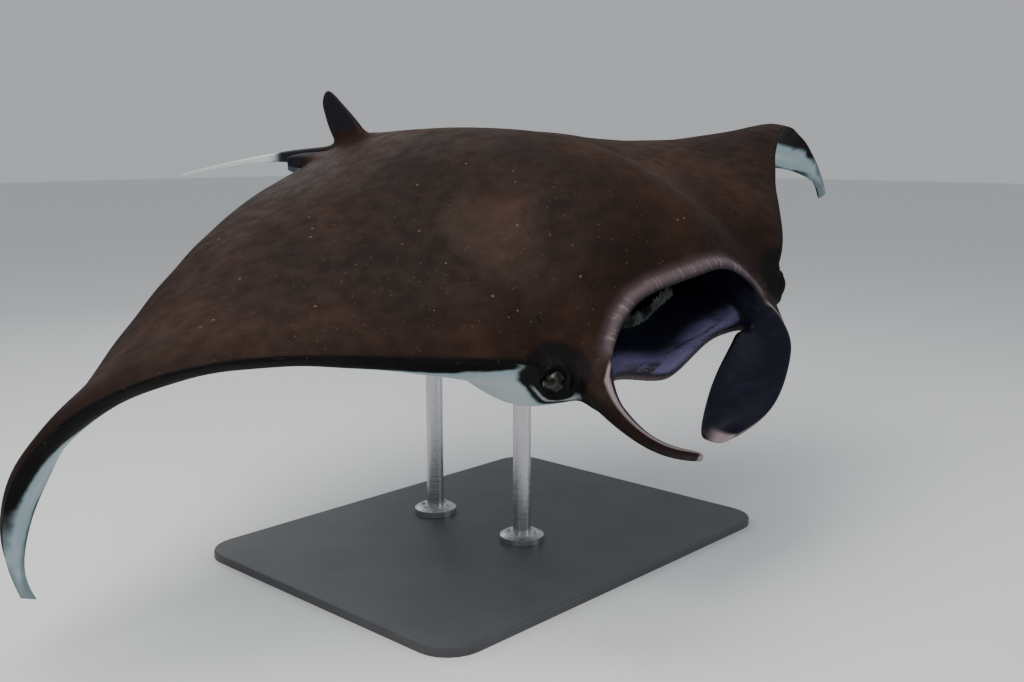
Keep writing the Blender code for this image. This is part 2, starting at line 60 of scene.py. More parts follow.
class Tree:  # short ways to add and join shader nodes
    def __init__(self, tree):
        self.tree = tree

    def node(self, kind, **settings):
        made = self.tree.nodes.new(kind)
        for key, value in settings.items():
            setattr(made, key, value)
        return made

    def put(self, socket, value):
        if isinstance(value, bpy.types.NodeSocket):
            self.tree.links.new(value, socket)
        else:
            socket.default_value = value

    def fill(self, made, values):  # puts values on a node's inputs by name
        for key, value in values.items():
            self.put(made.inputs[key], value)
        return made

    def mark(self, name, output="Fac"):
        return self.node("ShaderNodeAttribute", attribute_name=name).outputs[output]

    def math(self, operation, *values):
        made = self.node("ShaderNodeMath", operation=operation)
        for socket, value in zip(made.inputs, values):
            self.put(socket, value)
        return made.outputs[0]

    def times(self, first, *others):
        for other in others:
            first = self.math("MULTIPLY", first, other)
        return first

    def plus(self, first, *others):
        for other in others:
            first = self.math("ADD", first, other)
        return first

    def minus(self, a, b):
        return self.math("SUBTRACT", a, b)

    def over(self, a, b):
        return self.math("DIVIDE", a, b)

    def step(self, value, low, high, outLow=0.0, outHigh=1.0):
        made = self.node("ShaderNodeMapRange", interpolation_type="SMOOTHSTEP")
        for socket, part in zip(made.inputs, (value, low, high, outLow, outHigh)):
            self.put(socket, part)
        return made.outputs["Result"]

    def line(self, value, middle, outer, inner):  # 1 along a line, 0 farther off than outer
        return self.step(self.math("ABSOLUTE", self.minus(value, middle)), outer, inner)

    def oval(self, x, y, middle, half):  # 0 at an oval's middle and 1 on its edge
        across = self.over(self.minus(x, middle[0]), half[0])
        up = self.over(self.minus(y, middle[1]), half[1])
        return self.plus(self.times(across, across), self.times(up, up))

    def noise(self, vector, scale, detail=3.0, roughness=0.5, distortion=0.0):
        made = self.fill(self.node("ShaderNodeTexNoise"),
                         {"Vector": vector, "Scale": scale, "Detail": detail,
                          "Roughness": roughness, "Distortion": distortion})
        return made.outputs["Fac"]

    def ragged(self, vector, scale, reach, detail=3.0):  # noise about zero
        return self.times(self.minus(self.noise(vector, scale, detail), 0.5), reach)

    def cells(self, vector, scale, output="Distance"):
        made = self.fill(self.node("ShaderNodeTexVoronoi"), {"Vector": vector, "Scale": scale})
        return made.outputs[output]

    def stretched(self, vector, scale):
        made = self.fill(self.node("ShaderNodeMapping"), {"Vector": vector, "Scale": scale})
        return made.outputs["Vector"]

    def mix(self, share, a, b):
        made = self.fill(self.node("ShaderNodeMix", data_type="RGBA"),
                         {"Factor": share, "A": a, "B": b})
        return next(s for s in made.outputs if s.type == "RGBA")

    def bump(self, height, strength, distance, normal=None):
        made = self.fill(self.node("ShaderNodeBump"),
                         {"Height": height, "Strength": strength, "Distance": distance})
        if normal is not None:
            self.put(made.inputs["Normal"], normal)
        return made.outputs["Normal"]

    def grain(self, vector, scale, detail=2.0, spread=(0.3, 0.7), rough=(0.5, 0.5)):
        made = self.fill(self.node("ShaderNodeGroup", node_tree=grainGroup),
                         {"Vector": vector, "Scale": scale, "Detail": detail, "Low": spread[0],
                          "High": spread[1], "Smooth": rough[0], "Rough": rough[1]})
        return made.outputs["Height"], made.outputs["Roughness"]


def makeGrainGroup():  # fine grain, as a height for a bump and as a roughness
    group = bpy.data.node_groups.new("grain", "ShaderNodeTree")
    for name in ("Height", "Roughness"):
        group.interface.new_socket(name, in_out="OUTPUT", socket_type="NodeSocketFloat")
    group.interface.new_socket("Vector", in_out="INPUT", socket_type="NodeSocketVector")
    for name, value in (("Scale", 420.0), ("Detail", 2.0), ("Low", 0.3), ("High", 0.7),
                        ("Smooth", 0.4), ("Rough", 0.6)):
        made = group.interface.new_socket(name, in_out="INPUT", socket_type="NodeSocketFloat")
        made.default_value = value
    t = Tree(group)
    given = t.node("NodeGroupInput").outputs
    height = t.noise(given["Vector"], given["Scale"], given["Detail"])
    rough = t.step(height, given["Low"], given["High"], given["Smooth"], given["Rough"])
    t.fill(t.node("NodeGroupOutput"), {"Height": height, "Roughness": rough})
    return group


grainGroup = makeGrainGroup()


def newMaterial(name):
    material = bpy.data.materials.new(name)
    material.use_nodes = True
    return material, Tree(material.node_tree), material.node_tree.nodes["Principled BSDF"]


def setMaterial(item, material):
    item.data.materials.clear()
    item.data.materials.append(material)


view = {  # camera, light and floor: metres, degrees, watts, and millimetres for the lens
    "lens": 39.3,
    "sensor": 36,
    "farthest": 200,
    "azimuth": -47.0,
    "elevation": 10.0,
    "place": (-2.131, -2.061, 1.075),
    "floorSize": 60,
    "floorColour": (0.76, 0.77, 0.78, 1),
    "floorRoughness": 0.6,
    "airColour": (0.80, 0.83, 0.86, 1),
    "airStrength": 0.55,
    # name: (place, aim, size, watts, colour)
    "lights": {
        "overhead": ((-0.9, 0.1, 4.2), (0, 0, 0.9), 3.4, 130, (1.0, 0.96, 0.92)),
        "key": ((-3.4, -1.2, 3.6), (0, 0, 0.8), 2.0, 90, (1.0, 0.97, 0.94)),
        "fill": ((1.8, -3.8, 1.2), (0, -0.4, 0.7), 2.5, 26, (0.88, 0.94, 1.0)),
        "rim": ((1.5, 3.6, 2.6), (0, 0.3, 0.9), 2.0, 14, (0.95, 0.98, 1.0)),
    },
}


def setStage():
    scene = bpy.context.scene
    camera = addObject("camera", bpy.data.cameras.new("camera"))
    camera.data.lens = view["lens"]
    camera.data.sensor_width = view["sensor"]
    camera.data.clip_end = view["farthest"]
    camera.location = view["place"]
    camera.rotation_euler = (math.radians(90 - view["elevation"]), 0,
                             math.radians(view["azimuth"]))
    scene.camera = camera

    world = bpy.data.worlds.new("air")
    world.use_nodes = True
    background = world.node_tree.nodes["Background"]
    background.inputs["Color"].default_value = view["airColour"]
    background.inputs["Strength"].default_value = view["airStrength"]
    scene.world = world

    for name, (place, aim, size, watts, colour) in view["lights"].items():
        lamp = bpy.data.lights.new(name, "AREA")
        lamp.size = size
        lamp.energy = watts
        lamp.color = colour
        item = addObject(name, lamp)
        item.location = place
        item.rotation_euler = (Vector(aim) - Vector(place)).to_track_quat("-Z", "Y").to_euler()

    half = view["floorSize"] / 2
    mesh = bpy.data.meshes.new("floor")
    mesh.from_pydata([(-half, -half, 0), (half, -half, 0), (half, half, 0), (-half, half, 0)],
                     [], [(0, 1, 2, 3)])
    floor = addObject("floor", mesh)
    paint, t, surface = newMaterial("floorPaint")
    t.fill(surface, {"Base Color": view["floorColour"], "Roughness": view["floorRoughness"]})
    setMaterial(floor, paint)


setStage()
print("camera, light and floor set")


# The ray is drawn flat first, as a cage of columns from wing tip to wing tip, each a closed loop
# of rows, and is posed afterwards. Lengths are in metres.
rows = 9          # rows along the back, and again along the belly
frontRows = 4     # rows round the front edge
sideColumns = 21  # columns on each side of the midline
loopSize = 2 * (rows + 1) + frontRows - 1
mouthColumn = 5   # the mouth's corner
lobeColumn = 7    # the lobe's outer edge

wing = {
    "span": 1.60,
    "firstColumn": 0.46,
    "frontRootX": 0.44,
    "frontRootY": -0.60,
    "frontPower": 0.83,
    "tipY": 0.16,
    "tipChord": 0.03,
    "rearRootX": 0.10,
    "rearRootY": 0.66,
    "rearPower": 1.16,
    "rearHollow": 0.18,
    "rootThickness": 0.144,
    "tipThickness": 0.014,
    "thinning": 0.36,
    "edge": 0.004,
    "rootEdge": 0.012,
    "crowding": 1.35,    # more than 1 sets the columns closer towards the tip
}
body = {  # heights and half widths at places along the body
    "back": ((-0.76, 0.093), (-0.62, 0.124), (-0.42, 0.16), (-0.18, 0.19), (0.08, 0.182),
             (0.33, 0.133), (0.52, 0.084), (0.72, 0.04)),
    "belly": ((-0.76, 0.146), (-0.67, 0.164), (-0.57, 0.214), (-0.42, 0.258), (-0.20, 0.236),
              (0.12, 0.161), (0.35, 0.107), (0.52, 0.068), (0.72, 0.034)),
    "halfWidth": ((-0.76, 0.40), (-0.55, 0.41), (-0.35, 0.44), (-0.10, 0.46), (0.15, 0.40),
                  (0.35, 0.28), (0.52, 0.16), (0.72, 0.07)),
    "headSquareness": 2.35,
    "rearLift": 0.052,
    "sideDrop": 0.092,
    "rearY": 0.70,
}
# each column's front x and y, and its rear x
headOutline = ((0.0, -0.672, 0.0), (0.054, -0.669, 0.018), (0.108, -0.664, 0.04),
               (0.162, -0.661, 0.07), (0.211, -0.667, 0.11), (0.251, -0.679, 0.15),
               (0.287, -0.677, 0.19), (0.329, -0.669, 0.235), (0.366, -0.654, 0.28),
               (0.382, -0.639, 0.325), (0.384, -0.621, 0.37), (0.392, -0.600, 0.41))
mouth = {
    "halfWidth": 0.30,
    "lipLift": -0.104,
    "lipArch": 0.049,
    "jawDrop": 0.238,
    "jawArch": 0.179,
    "archPower": 1.22,
    "jawSetBack": 0.052,
    "fade": 0.16,        # how fast the lift and drop end behind the lips
    # rings of the lining: depth behind the lips, and width and height as shares of theirs
    "depths": (0.012, 0.06, 0.15, 0.27, 0.38),
    "widths": (0.93, 0.90, 0.84, 0.70, 0.46),
    "heights": (0.88, 0.82, 0.62, 0.40, 0.22),
}
lobe = {  # path: out, forward and down from the root, for the curve down each lobe's middle
    "left": {"path": ((-0.032, 0.042, 0.024), (-0.010, 0.051, 0.118), (-0.277, 0.092, 0.217)),
             "flare": 87.7, "lean": 0.359, "halfWidth": 0.087, "cup": 0.257, "root": 1.15},
    "right": {"path": ((0.103, 0.145, -0.045), (-0.029, 0.136, 0.119), (-0.106, 0.229, 0.125)),
              "flare": 71.8, "lean": 0.600, "halfWidth": 0.076, "cup": 0.206, "root": 1.06},
    "rings": 6,
}
headTurn = {"degrees": -5.8, "pivotY": -0.30}
fin = {"height": 0.122, "lean": 0.122, "rings": 4}
tail = {"length": 0.89, "droop": 0.245, "power": 1.2, "rings": 6}
pelvic = {"length": 0.055, "spread": 0.03, "rings": 2}


def ease(low, high, x):
    t = np.clip((np.asarray(x, float) - low) / (high - low), 0.0, 1.0)
    return t * t * (3.0 - 2.0 * t)


def through(points, x):  # a smooth curve through (position, value) points
    places, values = np.array(points, float).T
    x = np.clip(x, places[0], places[-1])
    slope = np.gradient(values, places)
    i = np.clip(np.searchsorted(places, x) - 1, 0, len(places) - 2)
    h = places[i + 1] - places[i]
    t = (x - places[i]) / h
    return ((2 * t**3 - 3 * t**2 + 1) * values[i] + (t**3 - 2 * t**2 + t) * h * slope[i]
            + (3 * t**2 - 2 * t**3) * values[i + 1] + (t**3 - t**2) * h * slope[i + 1])


def frontEdge(x):
    u = np.clip((x - wing["frontRootX"]) / (wing["span"] - wing["frontRootX"]), 0, 1)
    return wing["frontRootY"] + (wing["tipY"] - wing["frontRootY"]) * u ** wing["frontPower"]


def rearEdge(x):
    u = np.clip((x - wing["rearRootX"]) / (wing["span"] - wing["rearRootX"]), 0, 1)
    rise = (wing["rearRootY"] - wing["tipY"]) * (1 - u) ** wing["rearPower"]
    return wing["tipY"] + rise - wing["rearHollow"] * np.sin(math.pi * u) * u


def wingThickness(x):
    fall = np.exp(-np.clip(x - 0.40, 0, None) / wing["thinning"])
    return wing["tipThickness"] + (wing["rootThickness"] - wing["tipThickness"]) * fall


def wingSection(t):  # blunt in front, sharp behind
    curve = 0.2969 * np.sqrt(t) - 0.126 * t - 0.3516 * t**2 + 0.2843 * t**3 - 0.1036 * t**4
    return curve / 0.2


def bodyBell(x, y):  # the share of the body's height that is left at x
    squareness = 2.0 + (body["headSquareness"] - 2.0) * (1 - ease(-0.68, -0.30, y))
    return 1 / (1 + (np.abs(x) / through(body["halfWidth"], y)) ** squareness)


def columnEnds():  # front and rear (x, y) of each column, from the midline to the wing tip
    count = sideColumns + 1 - len(headOutline)
    share = 1 - (1 - np.arange(count) / (count - 1)) ** wing["crowding"]
    wingX = wing["firstColumn"] + (wing["span"] - wing["firstColumn"]) * share
    frontX = np.append([point[0] for point in headOutline], wingX)
    frontY = np.append([point[1] for point in headOutline], frontEdge(wingX))
    rearX = np.append([point[2] for point in headOutline], wingX)
    rearY = rearEdge(rearX)
    rearY[:4] = body["rearY"]
    rearY[-1] = wing["tipY"] + wing["tipChord"]
    return frontX, frontY, rearX, rearY


def halfGrid():  # points from the midline to the left wing tip, columns by rows, back first
    frontX, frontY, rearX, rearY = columnEnds()
    number = np.arange(sideColumns + 1)
    onWing = ease(9.0, 12.5, number)[:, None]
    along = np.append(0.86 * (np.arange(rows - 1) / (rows - 2)) ** 1.2, (0.95, 1.0))
    x = frontX[:, None] + (rearX - frontX)[:, None] * along
    y = frontY[:, None] + (rearY - frontY)[:, None] * along
    section = wingThickness(x) * wingSection(along)
    rounding = 1 - onWing + onWing * np.sqrt(np.clip(along * (2 - along), 0, 1)) ** 1.2
    edge = wing["edge"] + wing["rootEdge"] * np.exp(-np.clip(x - 0.4, 0, None) / 0.4)
    bell = bodyBell(x, y)
    root = wing["rootThickness"]
    top = np.maximum(through(body["back"], y) - 0.5 * root, 0) * bell * rounding
    top += section * 1.15 + edge
    under = np.maximum(through(body["belly"], y) - 0.4 * root, 0) * bell * rounding
    under += section * 0.85 + edge
    top += body["rearLift"] * ease(0.05, 0.46, y) * bell * (1 - ease(0.58, 0.71, y))
    near = np.exp(-np.clip(y + 0.745, 0, None) / mouth["fade"]) * (1 - onWing)
    out = np.clip(x / mouth["halfWidth"], 0, 1.25) ** mouth["archPower"]
    top += (mouth["lipLift"] - mouth["lipArch"] * out) * near
    under += (mouth["jawDrop"] - mouth["jawArch"] * out) * near

    grid = np.zeros((sideColumns + 1, loopSize, 3))
    grid[:, :rows + 1] = np.stack([x, y, top], -1)[:, ::-1]
    for i in range(1, frontRows):
        share = i / frontRows
        bulge = 0.35 * (top[:, 0] + under[:, 0]) * math.sin(math.pi * share) * onWing[:, 0]
        height = top[:, 0] * (1 - share) - under[:, 0] * share
        grid[:, rows + i] = np.stack([x[:, 0], y[:, 0] - bulge, height], -1)
    grid[:, rows + frontRows:] = np.stack([x, y, -under], -1)

    drop = ease(0.12, 0.36, grid[..., 0]) * (1 - ease(0.5, 1.25, grid[..., 0]))
    grid[..., 2] -= body["sideDrop"] * drop * (1 - ease(-0.45, 0.25, grid[..., 1]))
    lip = grid[:, rows, 2][:, None]
    jaw = grid[:, rows + frontRows, 2][:, None]
    down = np.clip((lip - grid[..., 2]) / (lip - jaw), 0, 1)
    fade = np.exp(-np.clip(grid[..., 1] + 0.74, 0, None) / 0.25)
    inHead = 1 - ease(5, 9, number)[:, None]
    grid[..., 1] += mouth["jawSetBack"] * inHead * down * fade
    return grid


def gridIndex(column, row):
    return (column + sideColumns) * loopSize + row % loopSize


def skinGrid():
    half = halfGrid()
    mirrored = half[:0:-1] * (-1, 1, 1)
    points = [list(point) for point in np.concatenate([mirrored, half]).reshape(-1, 3)]
    faces = {}
    for column in range(-sideColumns, sideColumns):
        for row in range(loopSize):
            faces[column, row] = [gridIndex(column, row), gridIndex(column, row + 1),
                                  gridIndex(column + 1, row + 1), gridIndex(column + 1, row)]
    for side in (-1, 1):
        upper = [gridIndex(side * sideColumns, rows - i) for i in range(rows + 1)]
        lower = [gridIndex(side * sideColumns, rows + frontRows + i) for i in range(rows + 1)]
        nose = [gridIndex(side * sideColumns, rows + i) for i in range(frontRows + 1)]
        strip = [[upper[i], upper[i + 1], lower[i + 1], lower[i]] for i in range(rows)]
        strip += [[nose[0], nose[4], nose[3], nose[1]], [nose[1], nose[3], nose[2]]]
        for i, face in enumerate(strip):
            faces["tip", side, i] = face[::-1] if side > 0 else face
    return points, faces


# Grows a block of the grid out, or in, by rings. place(t, base, u, v) sets a ring's points, and
# mark(t, u, v, base) gives what the skin's paint needs to know about them.
def growBlock(points, faces, marks, columns, firstRow, rowCount, rings, place, mark):
    wide = columns[1] - columns[0]
    for i in range(wide):
        for j in range(rowCount):
            del faces[columns[0] + i, (firstRow + j) % loopSize]
    block = [(i, j) for i in range(wide + 1) for j in range(rowCount + 1)]
    rim = ([(0, j) for j in range(rowCount)] + [(i, rowCount) for i in range(wide)]
           + [(wide, j) for j in range(rowCount, 0, -1)] + [(i, 0) for i in range(wide, 0, -1)])
    base = {at: gridIndex(columns[0] + at[0], firstRow + at[1]) for at in block}
    last = base
    for ring in range(1, rings + 1):
        keys = rim if ring < rings else block
        u = np.array([2 * i / wide - 1 for i, _ in keys])
        v = np.array([2 * j / rowCount - 1 for _, j in keys])
        start = np.array([points[base[at]] for at in keys])
        first = len(points)
        points.extend(place(ring / rings, start, u, v).tolist())
        for name, values in mark(ring / rings, u, v).items():
            for k, value in enumerate(values):
                marks[name][first + k] = value
        for k, at in enumerate(keys):
            marks["under"][first + k] = marks["under"][base[at]]
        new = {at: first + k for k, at in enumerate(keys)}
        for a, b in zip(rim, rim[1:] + rim[:1]):
            faces["side", first, a] = [last[a], last[b], new[b], new[a]]
        last = new
    for i in range(wide):
        for j in range(rowCount):
            faces["cap", last[i, j]] = [last[i, j], last[i, j + 1], last[i + 1, j + 1],
                                        last[i + 1, j]]
    return [base[at] for at in rim]


def blockMiddle(points, columns, firstRow, rowCount):
    return np.mean([points[gridIndex(column, row)]
                    for column in range(columns[0], columns[1] + 1)
                    for row in range(firstRow, firstRow + rowCount + 1)], axis=0)


def addMouth(points, faces, marks):
    columns = (-mouthColumn, mouthColumn)
    middle = blockMiddle(points, columns, rows, frontRows)
    count = len(mouth["depths"])

    def place(t, base, u, v):
        ring = round(t * count) - 1
        centre = middle[2] * (1 - t)
        return np.stack([base[:, 0] * mouth["widths"][ring], base[:, 1] + mouth["depths"][ring],
                         centre + (base[:, 2] - middle[2]) * mouth["heights"][ring]], -1)

    def mark(t, u, v):
        return {"mouthIn": t + 0 * u}

    return growBlock(points, faces, marks, columns, rows, frontRows, count, place, mark)


def addLobe(points, faces, marks, side):
    columns = (mouthColumn, lobeColumn) if side > 0 else (-lobeColumn, -mouthColumn)
    shape = lobe["left" if side > 0 else "right"]
    root = blockMiddle(points, columns, rows, frontRows)
    controls = [root] + [root + (side * out, -forward, -down)
                         for out, forward, down in shape["path"]]
    flare = math.radians(shape["flare"])
    level = math.sqrt(1 - shape["lean"] ** 2)
    across = np.array([side * math.sin(flare) * level, -math.cos(flare) * level, shape["lean"]])
    widths = (shape["root"], (shape["root"] + 0.95) / 2, 0.95, 1, 0.85, 0.42)

    def place(t, base, u, v):
        weights = ((1 - t) ** 3, 3 * t * (1 - t) ** 2, 3 * t * t * (1 - t), t**3)
        centre = sum(w * c for w, c in zip(weights, controls))
        run = ((1 - t) ** 2 * (controls[1] - controls[0])
               + 2 * t * (1 - t) * (controls[2] - controls[1])
               + t * t * (controls[3] - controls[2]))
        run = run / np.linalg.norm(run)
        wide = across - run * (across @ run)
        wide = wide / np.linalg.norm(wide)
        outward = np.cross(wide, run) * side
        halfWidth = shape["halfWidth"] * np.interp(t, (0, 0.2, 0.45, 0.7, 0.87, 1), widths)
        thick = np.interp(t, (0, 0.15, 0.4, 0.8, 1), (0.035, 0.024, 0.014, 0.009, 0.006))
        off = u * side * thick + (1 - v * v) * shape["cup"] * halfWidth
        paddle = centre + np.outer(-v * halfWidth, wide) + np.outer(off, outward)
        free = ease(0.04, 0.40, t)
        return (base + centre - root) * (1 - free) + paddle * free

    def mark(t, u, v):
        return {"lobeOut": t + 0 * u, "lobeAcross": v, "lobeInner": 0.5 - 0.5 * u * side}

    growBlock(points, faces, marks, columns, rows, frontRows, lobe["rings"], place, mark)


def turnHead(points):
    points = np.array(points, float)
    x, y = points[:, 0].copy(), points[:, 1] - headTurn["pivotY"]
    share = (1 - ease(-0.62, -0.12, points[:, 1])) * (1 - ease(0.42, 0.72, np.abs(x)))
    angle = np.radians(headTurn["degrees"]) * share
    points[:, 0] = x * np.cos(angle) - y * np.sin(angle)
    points[:, 1] = x * np.sin(angle) + y * np.cos(angle) + headTurn["pivotY"]
    return points


def addDorsalFin(points, faces, marks):
    start, end = points[gridIndex(0, 2)][1], points[gridIndex(0, 1)][1]

    def place(t, base, u, v):
        chord = np.interp(t, (0, 0.5, 1), (1.3, 0.85, 0.25))
        middle = (start + end) / 2
        return np.stack([u * np.interp(t, (0, 1), (0.018, 0.004)),
                         middle + fin["lean"] * t + (base[:, 1] - middle) * chord,
                         base[:, 2] + fin["height"] * t], -1)

    def mark(t, u, v):
        return {"finUp": t + 0 * u}

    growBlock(points, faces, marks, (-1, 1), 1, 1, fin["rings"], place, mark)


def addTail(points, faces, marks):
    def place(t, base, u, v):
        radius = np.interp(t, (0, 0.12, 0.4, 1), (0.036, 0.02, 0.011, 0.004))
        return np.stack([u * radius * 1.2,
                         body["rearY"] + tail["length"] * t + 0 * u,
                         0.02 - tail["droop"] * t ** tail["power"] + v * radius], -1)

    def mark(t, u, v):
        return {"tailOut": t + 0 * u}

    growBlock(points, faces, marks, (-1, 1), loopSize - 2, 3, tail["rings"], place, mark)


def addPelvicFin(points, faces, marks, side):
    columns = (2, 4) if side > 0 else (-4, -2)

    def place(t, base, u, v):
        shrink = 1 - 0.35 * t
        middle = base.mean(axis=0)
        outward = side * pelvic["spread"] * t
        return np.stack([middle[0] + (base[:, 0] - middle[0]) * shrink + outward,
                         base[:, 1].max() + pelvic["length"] * t - 0.02 * t * u * u,
                         middle[2] + (base[:, 2] - middle[2]) * (1 - 0.55 * t)], -1)

    def mark(t, u, v):
        return {"finUp": t + 0 * u}

    growBlock(points, faces, marks, columns, loopSize - 2, 3, pelvic["rings"], place, mark)


# Marks on the points for the paint: 0 on the back to 1 on the belly, then 0 to 1 into the mouth,
# down the lobes, over their width (-1 to 1), towards their inner face, up the fins, down the tail.
markNames = ("under", "mouthIn", "lobeOut", "lobeAcross", "lobeInner", "finUp", "tailOut")


def writeMark(mesh, name, values):
    layer = mesh.attributes.get(name) or mesh.attributes.new(name, "FLOAT", "POINT")
    layer.data.foreach_set("value", np.asarray(values, np.float32))


def flatRay(levels):  # the flat ray as a smooth mesh, its marks and the cage points of the lip
    points, faces = skinGrid()
    marks = {name: {} for name in markNames}
    for column in range(-sideColumns, sideColumns + 1):
        for row in range(loopSize):
            share = min(max((row - rows) / frontRows, 0), 1)
            marks["under"][gridIndex(column, row)] = share
    lip = addMouth(points, faces, marks)
    addLobe(points, faces, marks, 1)
    addLobe(points, faces, marks, -1)
    addDorsalFin(points, faces, marks)
    addTail(points, faces, marks)
    addPelvicFin(points, faces, marks, 1)
    addPelvicFin(points, faces, marks, -1)
    mesh = bpy.data.meshes.new("flatRay")
    mesh.from_pydata(turnHead(points).tolist(), [], list(faces.values()))
    for side in (-1, 1):  # the mouth's lining runs on into each lobe's inner face
        for row in range(rows, rows + frontRows + 1):
            seam = gridIndex(side * mouthColumn, row)
            inward = rows < row < rows + frontRows
            marks["mouthIn"][seam] = 0.3 if inward else 0.0
            marks["lobeInner"][seam] = 1.0 if inward else 0.5
    for name, values in marks.items():
        writeMark(mesh, name, [values.get(i, 0.0) for i in range(len(points))])
    flat = addObject("flatRay", mesh)
    smooth = flat.modifiers.new("smooth", "SUBSURF")
    smooth.levels = smooth.render_levels = levels
    graph = bpy.context.evaluated_depsgraph_get()
    fine = bpy.data.meshes.new_from_object(flat.evaluated_get(graph))
    bpy.data.objects.remove(flat)
    return fine, lip


# The pose. Each wing bends downwards and twists along its span by sums of
# (power of the share of the span, degrees).
pose = {
    "bendStart": 0.30,
    "twistAxisY": 0.05,
    "steps": 60,
    "left": {"bend": ((1, 11.9), (2, -7.5), (3, -3.8), (6, 46.5)),
             "twist": ((1, -37.5), (2, -21.9), (4, -5.1)), "sweep": -0.262},
    "right": {"bend": ((1, 1.1), (2, 74.2), (3, -34.1), (6, 21.7)),
              "twist": ((1, 1.8), (2, -46.7), (4, -59.0)), "sweep": -0.056},
    "noseDown": 10.15,
    "bank": -11.44,
    "height": 0.90,
}


def angleAt(terms, u):
    return np.radians(sum(amount * u**power for power, amount in terms))


def bodyTilt():
    return np.array(Matrix.Rotation(math.radians(pose["noseDown"]), 3, "X")
                    @ Matrix.Rotation(math.radians(pose["bank"]), 3, "Y"))


def posed(points):
    points = np.asarray(points, float)
    out = np.empty_like(points)
    start, axis, count = pose["bendStart"], pose["twistAxisY"], pose["steps"]
    reach = wing["span"] - start
    steps = np.linspace(0, 1, count + 1)
    for side, name in ((-1, "right"), (1, "left")):
        shape = pose[name]
        mine = points[:, 0] >= 0 if side > 0 else points[:, 0] < 0
        x, y, z = points[mine].T
        bend = angleAt(shape["bend"], steps)
        middle = (bend[1:] + bend[:-1]) / 2
        arcX = start + np.append(0, np.cumsum(np.cos(middle))) * reach / count
        arcZ = -np.append(0, np.cumsum(np.sin(middle))) * reach / count
        u = np.clip((np.abs(x) - start) / reach, 0, 1)
        inner = np.minimum(np.abs(x) - start, 0)
        turn = angleAt(shape["twist"], u)
        slope = np.interp(u, steps, bend)
        alongY = y - axis
        newY = axis + alongY * np.cos(turn) - z * np.sin(turn) + shape["sweep"] * u * u
        lift = alongY * np.sin(turn) + z * np.cos(turn)
        out[mine, 0] = side * (np.interp(u, steps, arcX) + inner + lift * np.sin(slope))
        out[mine, 1] = newY
        out[mine, 2] = np.interp(u, steps, arcZ) + lift * np.cos(slope)
    return out @ bodyTilt().T + (0, 0, pose["height"])


def readVector(mesh, kind):
    values = np.empty(len(mesh.vertices) * 3, np.float32)
    if kind == "normal":
        mesh.vertex_normals.foreach_get("vector", values)
    else:
        mesh.vertices.foreach_get("co", values)
    return values.reshape(-1, 3).astype(float)


def readMark(mesh, name):
    values = np.empty(len(mesh.vertices), np.float32)
    mesh.attributes[name].data.foreach_get("value", values)
    return values.astype(float)


def writeVector(mesh, name, values):
    layer = mesh.attributes.new(name, "FLOAT_VECTOR", "POINT")
    layer.data.foreach_set("vector", np.asarray(values, np.float32).ravel())


def lineOf(points, samples):  # even samples along a closed line through points, and their lengths
    points = np.vstack([points, points[:1]])
    lengths = np.append(0, np.cumsum(np.linalg.norm(np.diff(points, axis=0), axis=1)))
    at = np.linspace(0, lengths[-1], samples, endpoint=False)
    return np.stack([np.interp(at, lengths, points[:, k]) for k in range(3)], -1), at


def nearLine(points, line, at):  # distance to the nearest sample, and where along the line it is
    tree = KDTree(len(line))
    for i, sample in enumerate(line):
        tree.insert(sample, i)
    tree.balance()
    found = [tree.find(point)[1:] for point in points]
    return np.array([far for _, far in found]), at[[i for i, _ in found]]


skinLook = {  # heights and widths in metres
    "levels": 3,
    "lipRoll": 0.006,
    "lipRollWidth": 0.012,
    "lipSamples": 2400,
    "bandHeight": 0.0009,      # muscle bands that run along the chord, bands in radians per metre
    "bandTurns": 38,
    "keelHeight": 0.004,       # low keel in front of the dorsal fin
    "keelWidth": 0.03,
    "wingBellyEdge": 0.02,     # width of the dark edge round the wing's pale underside
    "lipBellyEdge": 0.055,
    "lobeStart": 0.001,        # points beyond this mark belong to a lobe
}
lids = {  # distances from the middle of the eye
    "fineRadius": 0.038,
    "radius": 0.0345,
    "width": 0.0075,
    "height": 0.0095,
    "lowerShare": 0.75,        # the lower lid's height as a share, and what the upper has more
    "upperExtra": 0.5,
    "grooveRadius": 0.0405,
    "grooveWidth": 0.003,
    "foldRadius": 0.0455,
    "foldWidth": 0.005,
    "foldHeight": 0.0035,
    "socketFloor": 0.018,
    "socketRim": 0.031,
    "socketDepth": 0.016,
}
eyeNames = ("eye_left", "eye_right")


def unposedEye(flatPoints, posedPoints, name):  # where an eye's middle is on the flat ray
    low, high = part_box(name)
    centre = np.array((low + high) / 2)
    near = np.argsort(np.linalg.norm(posedPoints - centre, axis=1))[:3]
    offset = centre - posedPoints[near].mean(axis=0)
    return flatPoints[near].mean(axis=0) + bodyTilt().T @ offset


def finerRoundEyes(mesh):
    flat = readVector(mesh, "co")
    before = posed(flat)
    eyes = [Vector(unposedEye(flat, before, name)) for name in eyeNames]
    shape = bmesh.new()
    shape.from_mesh(mesh)
    near = [edge for edge in shape.edges
            if min((sum((v.co for v in edge.verts), Vector()) / 2 - eye).length
                   for eye in eyes) < lids["fineRadius"]]
    bmesh.ops.subdivide_edges(shape, edges=near, cuts=2, use_grid_fill=True)
    shape.to_mesh(mesh)
    shape.free()


def ridge(far, radius, width):  # a soft ridge that is 1 at its radius
    return np.exp(-((far - radius) / width) ** 2)


